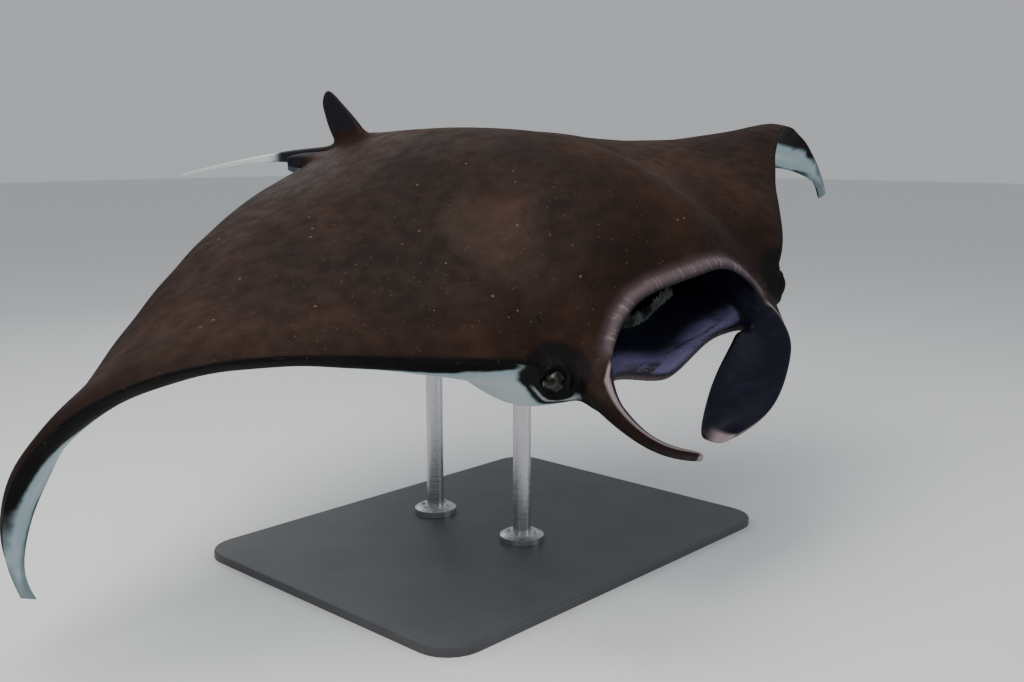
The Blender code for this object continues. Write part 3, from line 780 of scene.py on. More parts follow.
def eyeRelief(flat):  # lids round each eye with the socket inside, and distances from the eyes
    relief, eyeFar, eyeBelow = np.zeros(len(flat)), np.full(len(flat), 9.0), np.zeros(len(flat))
    before = posed(flat)
    for name in eyeNames:
        centre = unposedEye(flat, before, name)
        far = np.linalg.norm(flat - centre, axis=1)
        above = ease(-0.02, 0.02, flat[:, 2] - centre[2])
        lid = ridge(far, lids["radius"], lids["width"]) * lids["height"]
        lid *= lids["lowerShare"] + lids["upperExtra"] * above
        lid += lids["foldHeight"] * (ridge(far, lids["foldRadius"], lids["foldWidth"])
                                     - ridge(far, lids["grooveRadius"], lids["grooveWidth"]))
        socket = (1 - ease(lids["socketFloor"], lids["socketRim"], far)) * lids["socketDepth"]
        relief += lid - socket
        eyeFar = np.minimum(eyeFar, far)
        eyeBelow = np.where(far <= eyeFar, centre[2] - flat[:, 2], eyeBelow)
    return relief, eyeFar, eyeBelow


def bodyRelief(x, y, mark):  # soft muscle bands on the wings, and the keel
    onBody = 1 - ease(0.0, 0.05, mark["mouthIn"] + mark["lobeOut"] + mark["finUp"]
                      + mark["tailOut"])
    bands = np.sin(x * skinLook["bandTurns"] + 1.2 * np.sin(y * 5)) * skinLook["bandHeight"]
    bands *= ease(0.5, 0.7, x) * (1 - ease(1.3, 1.55, x))
    keel = ridge(x, 0, skinLook["keelWidth"]) * skinLook["keelHeight"]
    keel *= ease(-0.1, 0.2, y) * (1 - ease(0.5, 0.56, y)) * (1 - mark["under"])
    return (bands + keel) * onBody


def bellyDepth(x, y, mark, rimFar):  # how far inside the pale belly a point is, in metres
    onWing = ease(0.34, 0.50, x)
    headFront = np.interp(x, [p[0] for p in headOutline], [p[1] + 0.05 for p in headOutline])
    frontY = headFront * (1 - onWing) + frontEdge(x) * onWing
    far = np.minimum(y - frontY, rearEdge(x) + 0.04 * (x < 0.12) - y)
    front = ease(0.36, 0.62, x) * (1 - ease(1.15, 1.45, x)) * (y < 0.5 * (frontY + rearEdge(x)))
    margin = skinLook["wingBellyEdge"] * (1 + 2.6 * front) * ease(0.30, 0.44, x)
    under = 2 * mark["under"] - 1
    belly = np.where(under > 0,
                     np.minimum(np.clip(far, 0, None) + 0.02 - margin, under * 0.12),
                     under * 0.1)
    onLobe = mark["lobeOut"] > skinLook["lobeStart"]
    belly = np.where(onLobe, -0.02 - 0.1 * mark["lobeOut"], belly)
    return np.minimum(belly, (rimFar - skinLook["lipBellyEdge"]) * 0.6)


def makeSkin():
    mesh, lip = flatRay(skinLook["levels"])
    mesh.name = "mantaSkin"
    finerRoundEyes(mesh)
    flat = readVector(mesh, "co")
    normal = readVector(mesh, "normal")
    mark = {name: readMark(mesh, name) for name in markNames}
    line, at = lineOf(flat[lip], skinLook["lipSamples"])
    rimFar, rimAlong = nearLine(flat, line, at)
    inside = ease(0.0, 0.12, mark["mouthIn"])
    onLobe = mark["lobeOut"] > skinLook["lobeStart"]
    x, y = np.abs(flat[:, 0]), flat[:, 1]

    roll = ridge(rimFar, 0, skinLook["lipRollWidth"]) * skinLook["lipRoll"] * (1 - 0.5 * inside)
    relief, eyeFar, eyeBelow = eyeRelief(flat)
    shift = roll + relief + bodyRelief(x, y, mark)
    mesh.vertices.foreach_set("co", posed(flat + normal * shift[:, None]).ravel())

    lobeFace = ease(0.72, 0.90, mark["lobeInner"]) * ease(0.0, 0.04, mark["lobeOut"])
    for name, values in (
            ("belly", bellyDepth(x, y, mark, rimFar)), ("rimFar", rimFar), ("eyeFar", eyeFar),
            ("eyeBelow", eyeBelow), ("rimAlong", rimAlong),
            ("lining", np.maximum(inside, lobeFace)), ("jawSide", mark["under"]),
            ("lobeFront", mark["lobeInner"] * onLobe),
            ("lobeEdge", np.where(onLobe, -mark["lobeAcross"], 0))):
        writeMark(mesh, name, values)
    writeVector(mesh, "flat", flat)
    mesh.shade_smooth()
    skin = addObject("mantaSkin", mesh)
    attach(skin, "root")
    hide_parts(*flesh)
    return skin


skin = makeSkin()
print("skin made:", len(skin.data.vertices), "points")


skinColours = {
    "brown": (0.0115, 0.0047, 0.0026, 1),
    "warm": (0.0300, 0.0118, 0.0058, 1),
    "black": (0.0030, 0.0021, 0.0022, 1),
    "lip": (0.062, 0.043, 0.048, 1),
    "lipEdge": (0.27, 0.215, 0.225, 1),
    "belly": (0.50, 0.56, 0.57, 1),
    "bellyCool": (0.33, 0.44, 0.47, 1),
    "blotch": (0.055, 0.060, 0.066, 1),
    "lining": (0.0062, 0.0064, 0.0140, 1),
    "liningPale": (0.016, 0.018, 0.036, 1),
    # painted highlight on the folds inside the lower jaw
    "jawFoldHighlight": (0.105, 0.092, 0.190, 1),
    "gill": (0.200, 0.235, 0.205, 1),
    "fleck": (0.15, 0.090, 0.065, 1),
    "pale": (0.60, 0.63, 0.65, 1),
    "fin": (0.0070, 0.0080, 0.0130, 1),
}
# Scales are per metre. Lengths are in metres from the midline, the lip, the eye or the belly's
# edge, and a pair of limits runs from where a marking ends to where it is full.
markings = {
    "mottleScale": 2.6,
    "fineScale": 22.0,
    "tipShade": (1.05, 1.45),
    # scale, size, rarity and strength of each kind of fleck
    "flecks": ((36.0, 0.15, 0.72, 0.55), (13.0, 0.07, 0.86, 0.7), (95.0, 0.26, 0.70, 0.22)),
    "shoulder": {"middle": (0.30, -0.30), "half": (0.09, 0.15), "ragged": 1.6, "share": 0.10},
    "lipBand": (0.040, 0.006),
    "lipShare": 0.80,
    "lipEdge": (0.021, 0.003),
    "lipStreaks": 105.0,
    "lipRings": 26.0,
    "bellyEdge": (0.0, 0.022),
    "bellyPale": (0.02, 0.10),
    "bellyRagged": 0.045,
    "blotchScale": 6.5,
    "eyeRing": (0.094, 0.076),
    "eyePatch": ((0.047, 0.053), (0.070, 0.058)),
    "eyePatchBelow": (0.018, 0.040),
    "jawFoldHighlight": ((0.012, 0.020), (0.070, 0.034)),
    "teeth": {"middle": 0.026, "outer": 0.010, "inner": 0.004, "scale": 210.0, "share": 0.40},
    "tailPale": (0.24, 0.34),
    "tipLine": (1.42, 1.52),
    "spiracle": {"middle": (0.372, -0.515), "half": (0.0030, 0.010)},
    "grainScale": 420.0,
    "roughness": (0.58, 0.72),
    "liningGloss": 0.22,
    "specular": 0.11,
}
gillSlits = {
    "count": 5,
    "first": -0.385,
    "step": 0.090,
    "inner": 0.085,
    "outer": 0.275,
    "bow": 0.017,
    "shrink": 0.87,
    "halfWidth": 0.0062,
    "fullWidth": 0.0024,
    "flapBack": 0.013,
    "flapWidth": 0.012,
}


# The slit masks carry painted shade in each gill slit, which the skin has no opening for, and a
# painted highlight along the flap in front of it.
def slitMask(t, x, y):  # 1 along curved slits on each side of the belly, and 1 along their flaps
    total, flap = 0.0, 0.0
    for i in range(gillSlits["count"]):
        reach = (gillSlits["outer"] - gillSlits["inner"]) * gillSlits["shrink"] ** i
        middle = gillSlits["inner"] + 0.5 * reach
        across = t.over(t.minus(x, middle), 0.5 * reach)
        bow = t.times(across, across, gillSlits["bow"])
        along = t.minus(t.minus(y, gillSlits["first"] + gillSlits["step"] * i), bow)
        ends = t.step(t.math("ABSOLUTE", across), 1.0, 0.86)
        slit = t.line(along, 0.0, gillSlits["halfWidth"], gillSlits["fullWidth"])
        edge = t.line(along, -gillSlits["flapBack"], gillSlits["flapWidth"], 0.002)
        total = t.math("MAXIMUM", total, t.times(slit, ends))
        flap = t.math("MAXIMUM", flap, t.times(edge, ends))
    return total, flap


def paintSkin():
    material, t, surface = newMaterial("mantaSkin")
    flat, back = t.mark("flat", "Vector"), t.mark("under")
    parts = t.fill(t.node("ShaderNodeSeparateXYZ"), {"Vector": flat}).outputs
    x, y = t.math("ABSOLUTE", parts["X"]), parts["Y"]
    lining, rimFar, lobeOut = t.mark("lining"), t.mark("rimFar"), t.mark("lobeOut")
    outside = t.minus(1.0, lining)
    black = skinColours["black"]

    # back: dark chocolate, warmer in broad patches, with darker mottling and small flecks
    fine = t.noise(flat, markings["fineScale"], 5.0, 0.6)
    colour = t.mix(t.step(t.noise(flat, markings["mottleScale"], 4.0, 0.6), 0.38, 0.68),
                   skinColours["brown"], skinColours["warm"])
    colour = t.mix(t.step(back, 0.02, 0.30), colour, black)
    colour = t.mix(t.step(fine, 0.35, 0.75, 0.0, 0.45), colour, black)
    colour = t.mix(t.times(t.step(x, *markings["tipShade"]), 0.55), colour, black)
    for scale, size, rarity, share in markings["flecks"]:
        pick = t.fill(t.node("ShaderNodeSeparateColor"), {"Color": t.cells(flat, scale, "Color")})
        small = t.math("LESS_THAN", t.cells(flat, scale), t.times(pick.outputs["Red"], size))
        rare = t.math("GREATER_THAN", pick.outputs["Green"], rarity)
        colour = t.mix(t.times(small, rare, share), colour, skinColours["fleck"])
    shoulder = markings["shoulder"]
    patch = t.plus(t.oval(x, y, shoulder["middle"], shoulder["half"]),
                   t.ragged(flat, 9.0, shoulder["ragged"]))
    patch = t.times(t.step(patch, 1.3, 0.2), t.step(back, 0.1, 0.0), shoulder["share"])
    colour = t.mix(patch, colour, skinColours["fleck"])

    # lip: a grey mauve band that ends in a thin pale edge with streaks across it
    band = t.times(t.step(rimFar, *markings["lipBand"]), outside, t.step(lobeOut, 0.14, 0.01))
    colour = t.mix(t.times(band, markings["lipShare"]), colour, skinColours["lip"])
    spread = t.fill(t.node("ShaderNodeCombineXYZ"), {
        "X": t.times(t.mark("rimAlong"), markings["lipStreaks"]),
        "Y": t.times(rimFar, markings["lipRings"])})
    ripple = t.noise(spread.outputs["Vector"], 1.0, 3.0, 0.55)
    streaks = t.step(t.plus(ripple, t.times(t.noise(flat, 7.0), 0.35)), 0.66, 0.86)
    brim = t.times(t.step(rimFar, *markings["lipEdge"]), outside, t.step(lobeOut, 0.10, 0.0))
    colour = t.mix(t.times(brim, t.step(streaks, 0.0, 1.0, 0.20, 0.62)), colour,
                   skinColours["lipEdge"])

    # belly: pale, cool towards its edge, with dark blotches between the gills, painted shade in
    # the gill slits and a painted highlight along their flaps
    bellyFar = t.plus(t.mark("belly"), t.ragged(flat, 14.0, markings["bellyRagged"], 4.0))
    pale = t.mix(t.step(bellyFar, *markings["bellyPale"]), skinColours["bellyCool"],
                 skinColours["belly"])
    spots = t.step(t.noise(flat, markings["blotchScale"], 2.0, 0.5, 0.6), 0.60, 0.66)
    spots = t.times(spots, t.step(x, 0.40, 0.28), t.step(y, -0.12, 0.02))
    pale = t.mix(t.times(spots, 0.8), pale, skinColours["blotch"])
    slit, flap = slitMask(t, x, y)
    under = t.step(back, 0.8, 0.95)
    slit, flap = t.times(slit, under), t.times(flap, under)
    # painted highlight along each gill flap, then painted shade in each slit
    pale = t.mix(t.times(flap, 0.35), pale, skinColours["pale"])
    pale = t.mix(slit, pale, black)
    colour = t.mix(t.times(t.step(bellyFar, *markings["bellyEdge"]), outside), colour, pale)

    # dark ring round each eye, with a whitish patch below it
    ring = t.plus(t.mark("eyeFar"), t.ragged(flat, 40.0, 0.02))
    colour = t.mix(t.times(t.step(ring, *markings["eyeRing"]), 0.985), colour, black)
    inner, outer = markings["eyePatch"]
    patch = t.times(t.step(ring, *inner), t.step(ring, *outer),
                    t.step(t.mark("eyeBelow"), *markings["eyePatchBelow"]), 0.55)
    colour = t.mix(patch, colour, skinColours["belly"])

    # mouth and the lobes' inner faces: near black violet with paler streaks, and a streaky band of
    # painted highlights on the folds along the lower jaw
    streak = t.noise(t.stretched(flat, (5, 20, 30)), 1.0, 3.0, 0.6, 0.8)
    mouthColour = t.mix(t.times(t.step(streak, 0.56, 0.74), 0.5), skinColours["lining"],
                        skinColours["liningPale"])
    jaw = t.times(t.step(t.mark("jawSide"), 0.80, 0.97), lining)
    # painted highlight: a streaky violet band along the folds of the lining just inside the lower
    # jaw
    inner, outer = markings["jawFoldHighlight"]
    jawFoldHighlight = t.times(t.step(rimFar, *inner), t.step(rimFar, *outer),
                      t.step(streak, 0.38, 0.62, 0.12, 1.0), jaw)
    mouthColour = t.mix(jawFoldHighlight, mouthColour, skinColours["jawFoldHighlight"])
    colour = t.mix(lining, colour, mouthColour)
    # teeth: a band of fine pale points just inside the lower jaw
    teeth = markings["teeth"]
    row = t.times(t.line(rimFar, teeth["middle"], teeth["outer"], teeth["inner"]), jaw)
    points = t.times(row, t.step(t.cells(flat, teeth["scale"]), 0.45, 0.2),
                     t.step(x, 0.20, 0.16), teeth["share"])
    colour = t.mix(points, colour, skinColours["lipEdge"])

    # lobes: darker outside, a pale line down the front edge and a white edge at the tip
    dark = t.times(t.step(lobeOut, 0.05, 0.30), outside, 0.6)
    colour = t.mix(dark, colour, black)
    corner, leading = t.mark("lobeFront"), t.mark("lobeEdge")
    front = t.times(t.step(corner, 0.50, 0.66), t.step(corner, 0.88, 0.74),
                    t.step(leading, 0.2, 0.7), t.step(lobeOut, 0.0, 0.05, 0.0, 0.75))
    tip = t.times(t.step(lobeOut, 0.955, 0.995), t.step(leading, -0.6, 0.4))
    colour = t.mix(t.math("MAXIMUM", front, tip), colour, skinColours["lipEdge"])

    # fins, tail, a pale line along the trailing half of the wing tips, and the spiracles, painted
    # black as shade in their openings
    tail = t.mark("tailOut")
    colour = t.mix(t.times(t.step(t.mark("finUp"), 0.1, 0.4), 0.9), colour, skinColours["fin"])
    colour = t.mix(t.step(tail, 0.02, 0.08), colour, skinColours["fin"])
    colour = t.mix(t.step(t.plus(tail, t.ragged(flat, 30.0, 0.05)), *markings["tailPale"]),
                   colour, skinColours["pale"])
    tipLine = t.times(t.step(x, *markings["tipLine"]), t.step(back, 0.5, 0.9), 0.5)
    colour = t.mix(tipLine, colour, skinColours["bellyCool"])
    # painted shade: each spiracle's opening is a black oval on the skin, with a shallow dent from
    # the bump
    pit = t.oval(x, y, markings["spiracle"]["middle"], markings["spiracle"]["half"])
    pit = t.times(t.step(pit, 1.2, 0.5), t.step(back, 0.2, 0.0), outside)
    colour = t.mix(pit, colour, black)

    rough = t.step(fine, 0.3, 0.7, *markings["roughness"])
    rough = t.minus(rough, t.times(lining, markings["liningGloss"]))

    # relief: denticle grain, soft wrinkles across the lip, slits and the folds of the lobes
    grain, _ = t.grain(flat, markings["grainScale"])
    wrinkle = t.times(t.minus(ripple, 0.5), t.step(rimFar, 0.046, 0.004), 2.6)
    fold = t.times(t.plus(lobeOut, t.times(t.noise(flat, 12.0), 0.12)), 70.0)
    fold = t.times(t.math("SINE", fold), t.step(lobeOut, 0.06, 0.2), t.step(lobeOut, 1.0, 0.7),
                   0.25)
    relief = t.plus(wrinkle, fold, t.times(flap, 1.6), t.times(t.plus(slit, pit), -2.6),
                    t.times(row, 0.5))
    normal = t.bump(relief, 0.5, 0.0022)
    normal = t.bump(fine, 0.22, 0.004, normal)
    normal = t.bump(grain, 0.16, 0.0008, normal)
    t.fill(surface, {"Base Color": colour, "Roughness": rough, "Normal": normal,
                     "Specular IOR Level": markings["specular"]})
    setMaterial(skin, material)


paintSkin()
print("skin painted")


eyeLook = {
    "iris": (0.0100, 0.0075, 0.0055, 1),
    "irisPale": (0.052, 0.041, 0.028, 1),
    "pupil": (0.0010, 0.0010, 0.0014, 1),
    "white": (0.0060, 0.0055, 0.0070, 1),
    "gazeForward": 0.25,
    "gazeRise": 0.15,
    "gap": 0.0003,             # how much smaller than the solid's the ball's radius is
    # the rest in shares of the ball's radius
    "irisEdge": (0.58, 0.66),
    "pupilMiddle": (0.0, -0.04),
    "pupilHalf": (0.47, 0.34),
    "veilTop": 0.22,
    "veilHang": 0.20,
    "veilHalf": 0.32,
    "roughness": 0.20,
    "specular": 0.22,
    "coatRoughness": 0.03,
}


def paintEyes():
    material, t, surface = newMaterial("eye")
    across, up, out = t.mark("gazeAcross"), t.mark("gazeUp"), t.mark("gazeOut")
    radius = t.math("SQRT", t.plus(t.times(across, across), t.times(up, up)))
    place = t.fill(t.node("ShaderNodeCombineXYZ"), {
        "X": t.times(t.math("ARCTAN2", up, across), 5.0), "Y": radius})
    fibre = t.noise(place.outputs["Vector"], 4.0, 3.0, 0.6)
    colour = t.mix(t.step(fibre, 0.35, 0.65), eyeLook["iris"], eyeLook["irisPale"])
    ring = t.step(radius, *eyeLook["irisEdge"])
    colour = t.mix(ring, colour, eyeLook["white"])
    # a wide pupil with a veil of iris hanging into it from above
    oval = t.oval(across, up, eyeLook["pupilMiddle"], eyeLook["pupilHalf"])
    hang = t.times(t.line(across, 0.0, eyeLook["veilHalf"], 0.0), eyeLook["veilHang"])
    clear = t.step(t.minus(t.minus(eyeLook["veilTop"], hang), up), -0.015, 0.03)
    pupil = t.times(t.step(oval, 1.08, 0.94), clear, t.step(out, 0.0, 0.05))
    fibres = t.times(fibre, t.minus(1.0, ring))
    t.fill(surface, {
        "Base Color": t.mix(pupil, colour, eyeLook["pupil"]),
        "Roughness": eyeLook["roughness"], "Specular IOR Level": eyeLook["specular"],
        "Coat Weight": t.step(fibre, 0.0, 1.0, 0.10, 0.16),
        "Coat Roughness": eyeLook["coatRoughness"], "Normal": t.bump(fibres, 0.2, 0.0008)})
    return material


def makeEyes():
    material = paintEyes()
    for name, side in zip(eyeNames, (1, -1)):
        low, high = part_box(name)
        outward = Vector((side, -eyeLook["gazeForward"], eyeLook["gazeRise"])).normalized()
        turn = outward.to_track_quat("Z", "Y").to_matrix()
        shape = bmesh.new()
        bmesh.ops.create_uvsphere(shape, u_segments=64, v_segments=48,
                                  radius=(high - low).x / 2 - eyeLook["gap"])
        mesh = bpy.data.meshes.new(name.replace("_", "Ball_"))
        shape.to_mesh(mesh)
        shape.free()
        points = readVector(mesh, "co")
        gaze = points / np.linalg.norm(points, axis=1)[:, None]
        for mark, values in zip(("gazeAcross", "gazeUp", "gazeOut"), gaze.T):
            writeMark(mesh, mark, values)
        points = points @ np.array(turn).T + np.array((low + high) / 2)
        mesh.vertices.foreach_set("co", points.astype(np.float32).ravel())
        mesh.shade_smooth()
        mesh.materials.append(material)
        ball = addObject(mesh.name, mesh)
        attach(ball, "root")
        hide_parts(name)


makeEyes()
print("eyes made")


gills = {  # arches across the back of the mouth, as blades that stand on its lining
    "arches": 5,
    "firstDepth": 0.135,
    "stepDepth": 0.046,
    "fromDegrees": 196,
    "toDegrees": 344,
    "samples": 60,
    "spacing": 0.0058,
    "bladeHeight": 0.034,
    "bladeWidth": 0.017,
    "bladeThickness": 0.0017,
    "taper": 0.75,
    "bow": 0.012,
    "unevenness": 0.35,
    "seed": 7,
    "grainScale": 600.0,
    "roughness": (0.38, 0.52),
}


def newGroup(name, inputs):  # a geometry group with Geometry in and out and the named inputs
    group = bpy.data.node_groups.new(name, "GeometryNodeTree")
    group.interface.new_socket("Geometry", in_out="OUTPUT", socket_type="NodeSocketGeometry")
    group.interface.new_socket("Geometry", in_out="INPUT", socket_type="NodeSocketGeometry")
    for label, kind, value in inputs:
        made = group.interface.new_socket(label, in_out="INPUT", socket_type="NodeSocket" + kind)
        if value is not None:
            made.default_value = value
    return group


class Joiner:  # adds nodes to a geometry group, with their inputs filled or linked
    def __init__(self, group):
        self.group = group

    def add(self, kind, inputs=None, **settings):
        made = self.group.nodes.new(kind)
        for key, value in settings.items():
            setattr(made, key, value)
        for key, value in (inputs or {}).items():
            if isinstance(value, bpy.types.NodeSocket):
                self.group.links.new(value, made.inputs[key])
            else:
                made.inputs[key].default_value = value
        return made

    def math(self, operation, *values):
        return self.add("ShaderNodeMath", dict(enumerate(values)), operation=operation).outputs[0]

    def chance(self, low, high, seed):  # a random number for each point
        made = self.add("FunctionNodeRandomValue", {"Min": low, "Max": high, "Seed": seed},
                        data_type="FLOAT")
        return next(o for o in made.outputs if o.type == "VALUE" and o.enabled)

    def finish(self, instances, material):
        real = self.add("GeometryNodeRealizeInstances", {"Geometry": instances})
        painted = self.add("GeometryNodeSetMaterial", {"Geometry": real.outputs[0],
                                                       "Material": material})
        self.add("NodeGroupOutput", {"Geometry": painted.outputs[0]})


def grown(item, group, values):  # the item's mesh after the group, as a plain mesh
    grow = item.modifiers.new("grow", "NODES")
    grow.node_group = group
    for socket in group.interface.items_tree:
        if socket.item_type == "SOCKET" and socket.in_out == "INPUT" and socket.name in values:
            grow[socket.identifier] = values[socket.name]
    graph = bpy.context.evaluated_depsgraph_get()
    mesh = bpy.data.meshes.new_from_object(item.evaluated_get(graph))
    item.modifiers.remove(grow)
    return mesh


def bladeGroup():  # tapered blades along every line, each standing on its line's "rise"
    group = newGroup("gillBlades", (
        ("Spacing", "Float", 0.006), ("Size", "Vector", None), ("Taper", "Float", 0.7),
        ("Bow", "Float", 0.004), ("Unevenness", "Float", 0.3), ("Seed", "Int", 0),
        ("Material", "Material", None)))
    g = Joiner(group)
    given = g.add("NodeGroupInput").outputs
    curve = g.add("GeometryNodeMeshToCurve", {"Mesh": given["Geometry"]})
    even = g.add("GeometryNodeResampleCurve", {"Curve": curve.outputs["Curve"],
                                               "Length": given["Spacing"]}, mode="LENGTH")
    box = g.add("GeometryNodeMeshCube", {"Size": given["Size"], "Vertices X": 2,
                                         "Vertices Y": 3, "Vertices Z": 6})
    position = g.add("GeometryNodeInputPosition").outputs["Position"]
    place = g.add("ShaderNodeSeparateXYZ", {"Vector": position})
    size = g.add("ShaderNodeSeparateXYZ", {"Vector": given["Size"]})
    up = g.math("ADD", g.math("DIVIDE", place.outputs["Z"], size.outputs["Z"]), 0.5)
    left = g.math("SUBTRACT", 1.0, g.math("MULTIPLY", up, given["Taper"]))
    lean = g.math("MULTIPLY", g.math("POWER", up, 2.0), given["Bow"])
    moved = g.add("ShaderNodeCombineXYZ", {
        "X": g.math("MULTIPLY", place.outputs["X"], left),
        "Y": g.math("MULTIPLY_ADD", place.outputs["Y"], left, lean),
        "Z": g.math("MULTIPLY", up, size.outputs["Z"])})
    blade = g.add("GeometryNodeSetPosition", {"Geometry": box.outputs["Mesh"],
                                              "Position": moved.outputs[0]})
    rise = g.add("GeometryNodeInputNamedAttribute", {"Name": "rise"}, data_type="FLOAT_VECTOR")
    tangent = g.add("GeometryNodeInputTangent").outputs[0]
    stand = g.add("FunctionNodeAlignRotationToVector", {"Vector": tangent}, axis="X")
    stand = g.add("FunctionNodeAlignRotationToVector",
                  {"Rotation": stand.outputs[0], "Vector": rise.outputs["Attribute"]},
                  axis="Z", pivot_axis="X")
    low = g.math("SUBTRACT", 1.0, given["Unevenness"])
    put = g.add("GeometryNodeInstanceOnPoints",
                {"Points": even.outputs["Curve"], "Instance": blade.outputs["Geometry"],
                 "Rotation": stand.outputs[0], "Scale": g.chance(low, 1.0, given["Seed"])})
    g.finish(put.outputs["Instances"], given["Material"])
    return group


def paintGills():
    material, t, surface = newMaterial("gillPlates")
    place = t.node("ShaderNodeTexCoord").outputs["Object"]
    colour = t.mix(t.step(t.noise(place, 30.0), 0.35, 0.65), skinColours["lining"],
                   skinColours["gill"])
    fine, rough = t.grain(place, gills["grainScale"], rough=gills["roughness"])
    t.fill(surface, {"Base Color": colour, "Roughness": rough,
                     "Normal": t.bump(fine, 0.3, 0.0006)})
    return material


def gillLines():  # lines over the mouth's lining as a mesh, with the way that blades rise
    flat, _ = flatRay(2)
    walls = BVHTree.FromPolygons([v.co for v in flat.vertices],
                                 [p.vertices for p in flat.polygons])
    bpy.data.meshes.remove(flat)
    low = blockMiddle(skinGrid()[0], (-mouthColumn, mouthColumn), rows, frontRows)
    points, rises, edges = [], [], []
    away = 0.02
    for arch in range(gills["arches"]):
        depth = gills["firstDepth"] + gills["stepDepth"] * arch
        deepest = mouth["depths"][-1]
        centre = Vector(turnHead([(0, low[1] + depth, low[2] * (1 - depth / deepest))])[0])
        joined = False
        for degrees in np.linspace(gills["fromDegrees"], gills["toDegrees"], gills["samples"]):
            angle = math.radians(degrees)
            toWall = Vector((math.cos(angle), 0, math.sin(angle)))
            hit, normal, _, _ = walls.ray_cast(centre, toWall)
            if hit is None or hit.y > 0:
                joined = False
                continue
            foot, above = posed([tuple(hit), tuple(hit + normal * away)])
            points.append(foot)
            rises.append((above - foot) / away)
            if joined:
                edges.append((len(points) - 2, len(points) - 1))
            joined = True
    guide = bpy.data.meshes.new("gillGuide")
    guide.from_pydata([tuple(point) for point in points], edges, [])
    writeVector(guide, "rise", rises)
    return guide


def makeGillPlates():
    item = addObject("gillGuide", gillLines())
    mesh = grown(item, bladeGroup(), {
        "Spacing": gills["spacing"], "Taper": gills["taper"], "Bow": gills["bow"],
        "Size": (gills["bladeThickness"], gills["bladeWidth"], gills["bladeHeight"]),
        "Unevenness": gills["unevenness"], "Seed": gills["seed"], "Material": paintGills()})
    bpy.data.objects.remove(item)
    mesh.name = "gillPlates"
    plates = addObject("gillPlates", mesh)
    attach(plates, "root")
    print("gill plates made:", len(mesh.polygons), "faces")


makeGillPlates()


screws = {
    "around": 6,
    "ring": 0.0375,
    "radius": 0.0052,
    "height": 0.0045,
    "sides": 24,
    "socketRadius": 0.0026,
    "socketDepth": 0.0022,
    "smoothUnder": 35,       # degrees
    "rods": (-0.11, 0.23),   # y of each rod's axis
    "footTop": 0.042,
    "seed": 3,
}
standLook = {
    "paint": ((0.040, 0.041, 0.045, 1), (0.052, 0.053, 0.058, 1)),
    "paintGrain": 420.0,
    "paintRoughness": (0.42, 0.55),
    "steel": ((0.42, 0.42, 0.44, 1), (0.6, 0.6, 0.62, 1)),
    "steelGrain": 12.0,
    "steelStretch": (1, 1, 45),   # turning marks run round the rods
    "steelRoughness": (0.24, 0.38),
}


def screwHead():  # a low cap with a hexagon socket
    shape = bmesh.new()
    count, top = screws["sides"], screws["height"]
    turns = np.linspace(0, 2 * math.pi, count, endpoint=False)

    def addRing(radii, z):
        return [shape.verts.new((radius * math.cos(a), radius * math.sin(a), z))
                for radius, a in zip(radii, turns)]

    reach = math.cos(math.pi / 6) / np.cos(turns % (math.pi / 3) - math.pi / 6)
    socket = screws["socketRadius"] * reach
    rings = [addRing([radius] * count, z) for radius, z in (
        (screws["radius"], -0.001), (screws["radius"], top * 0.8),
        (screws["radius"] * 0.93, top), (screws["socketRadius"] * 1.25, top))]
    rings += [addRing(socket, z) for z in (top, top - screws["socketDepth"])]
    for first, second in zip(rings, rings[1:]):
        for i in range(count):
            j = (i + 1) % count
            shape.faces.new((first[i], first[j], second[j], second[i]))
    shape.faces.new(rings[0][::-1])
    shape.faces.new(rings[-1])
    bmesh.ops.recalc_face_normals(shape, faces=shape.faces)
    mesh = bpy.data.meshes.new("screwHead")
    shape.to_mesh(mesh)
    shape.free()
    mesh.shade_smooth()
    mesh.set_sharp_from_angle(angle=math.radians(screws["smoothUnder"]))
    return mesh


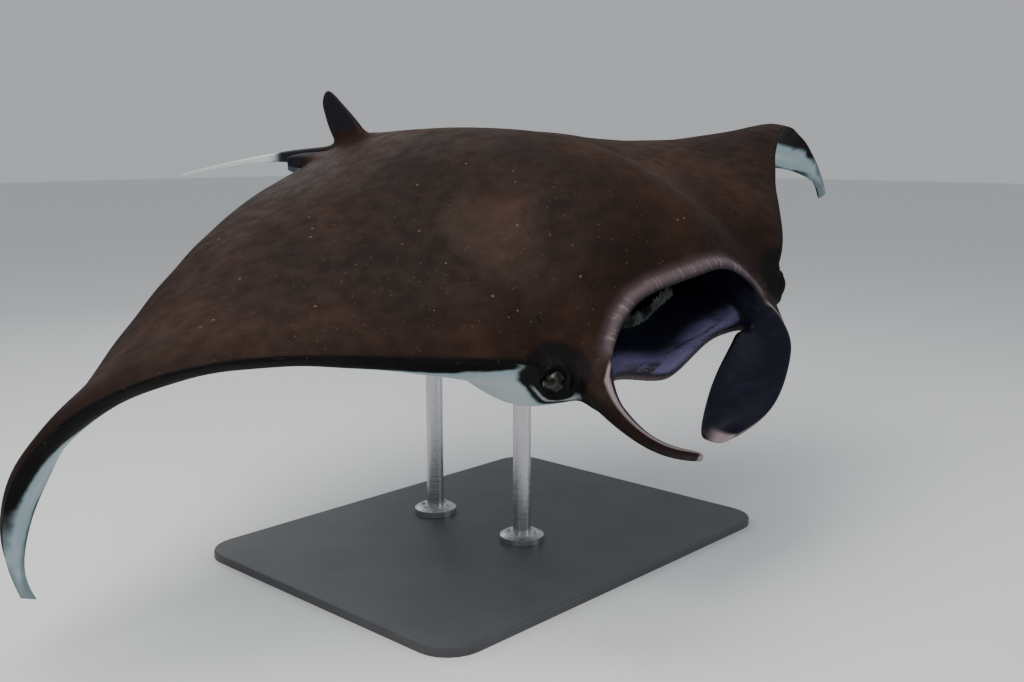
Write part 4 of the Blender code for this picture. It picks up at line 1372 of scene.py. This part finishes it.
def screwGroup():  # one screw on each point, turned a little at random about its axis
    group = newGroup("footScrews", (("Screw", "Object", None), ("Seed", "Int", 0),
                                    ("Material", "Material", None)))
    g = Joiner(group)
    given = g.add("NodeGroupInput").outputs
    head = g.add("GeometryNodeObjectInfo", {"Object": given["Screw"]})
    turned = g.add("ShaderNodeCombineXYZ", {"Z": g.chance(0.0, 1.0, given["Seed"])})
    put = g.add("GeometryNodeInstanceOnPoints",
                {"Points": given["Geometry"], "Instance": head.outputs["Geometry"],
                 "Rotation": turned.outputs[0]})
    g.finish(put.outputs["Instances"], given["Material"])
    return group


def makeScrews(material):
    head = addObject("screwHead", screwHead())
    places = [(screws["ring"] * math.cos(a), y + screws["ring"] * math.sin(a), screws["footTop"])
              for y in screws["rods"]
              for a in np.linspace(0, 2 * math.pi, screws["around"], endpoint=False)]
    guide = bpy.data.meshes.new("screwPlaces")
    guide.from_pydata(places, [], [])
    item = addObject("screwPlaces", guide)
    mesh = grown(item, screwGroup(), {"Screw": head, "Seed": screws["seed"],
                                      "Material": material})
    for spare in (item, head):
        bpy.data.objects.remove(spare)
    mesh.name = "footScrews"
    made = addObject("footScrews", mesh)
    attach(made, "root")


def paintStand():
    material, t, surface = newMaterial("standPaint")
    place = t.node("ShaderNodeTexCoord").outputs["Object"]
    speck, rough = t.grain(place, standLook["paintGrain"], rough=standLook["paintRoughness"])
    colour = t.mix(t.step(t.noise(place, 6.0), 0.3, 0.7), *standLook["paint"])
    t.fill(surface, {"Base Color": colour, "Roughness": rough,
                     "Normal": t.bump(speck, 0.25, 0.0006)})
    setMaterial(nodes["stand_base"], material)

    material, t, surface = newMaterial("standSteel")
    place = t.stretched(t.node("ShaderNodeTexCoord").outputs["Object"], standLook["steelStretch"])
    turned, rough = t.grain(place, standLook["steelGrain"], 3.0, (0.2, 0.8),
                            standLook["steelRoughness"])
    t.fill(surface, {"Base Color": t.mix(turned, *standLook["steel"]), "Metallic": 1.0,
                     "Roughness": rough, "Normal": t.bump(turned, 0.08, 0.0004)})
    for name in ("stand_rod_front", "stand_rod_rear"):
        setMaterial(nodes[name], material)
    makeScrews(material)


paintStand()
print("stand painted")
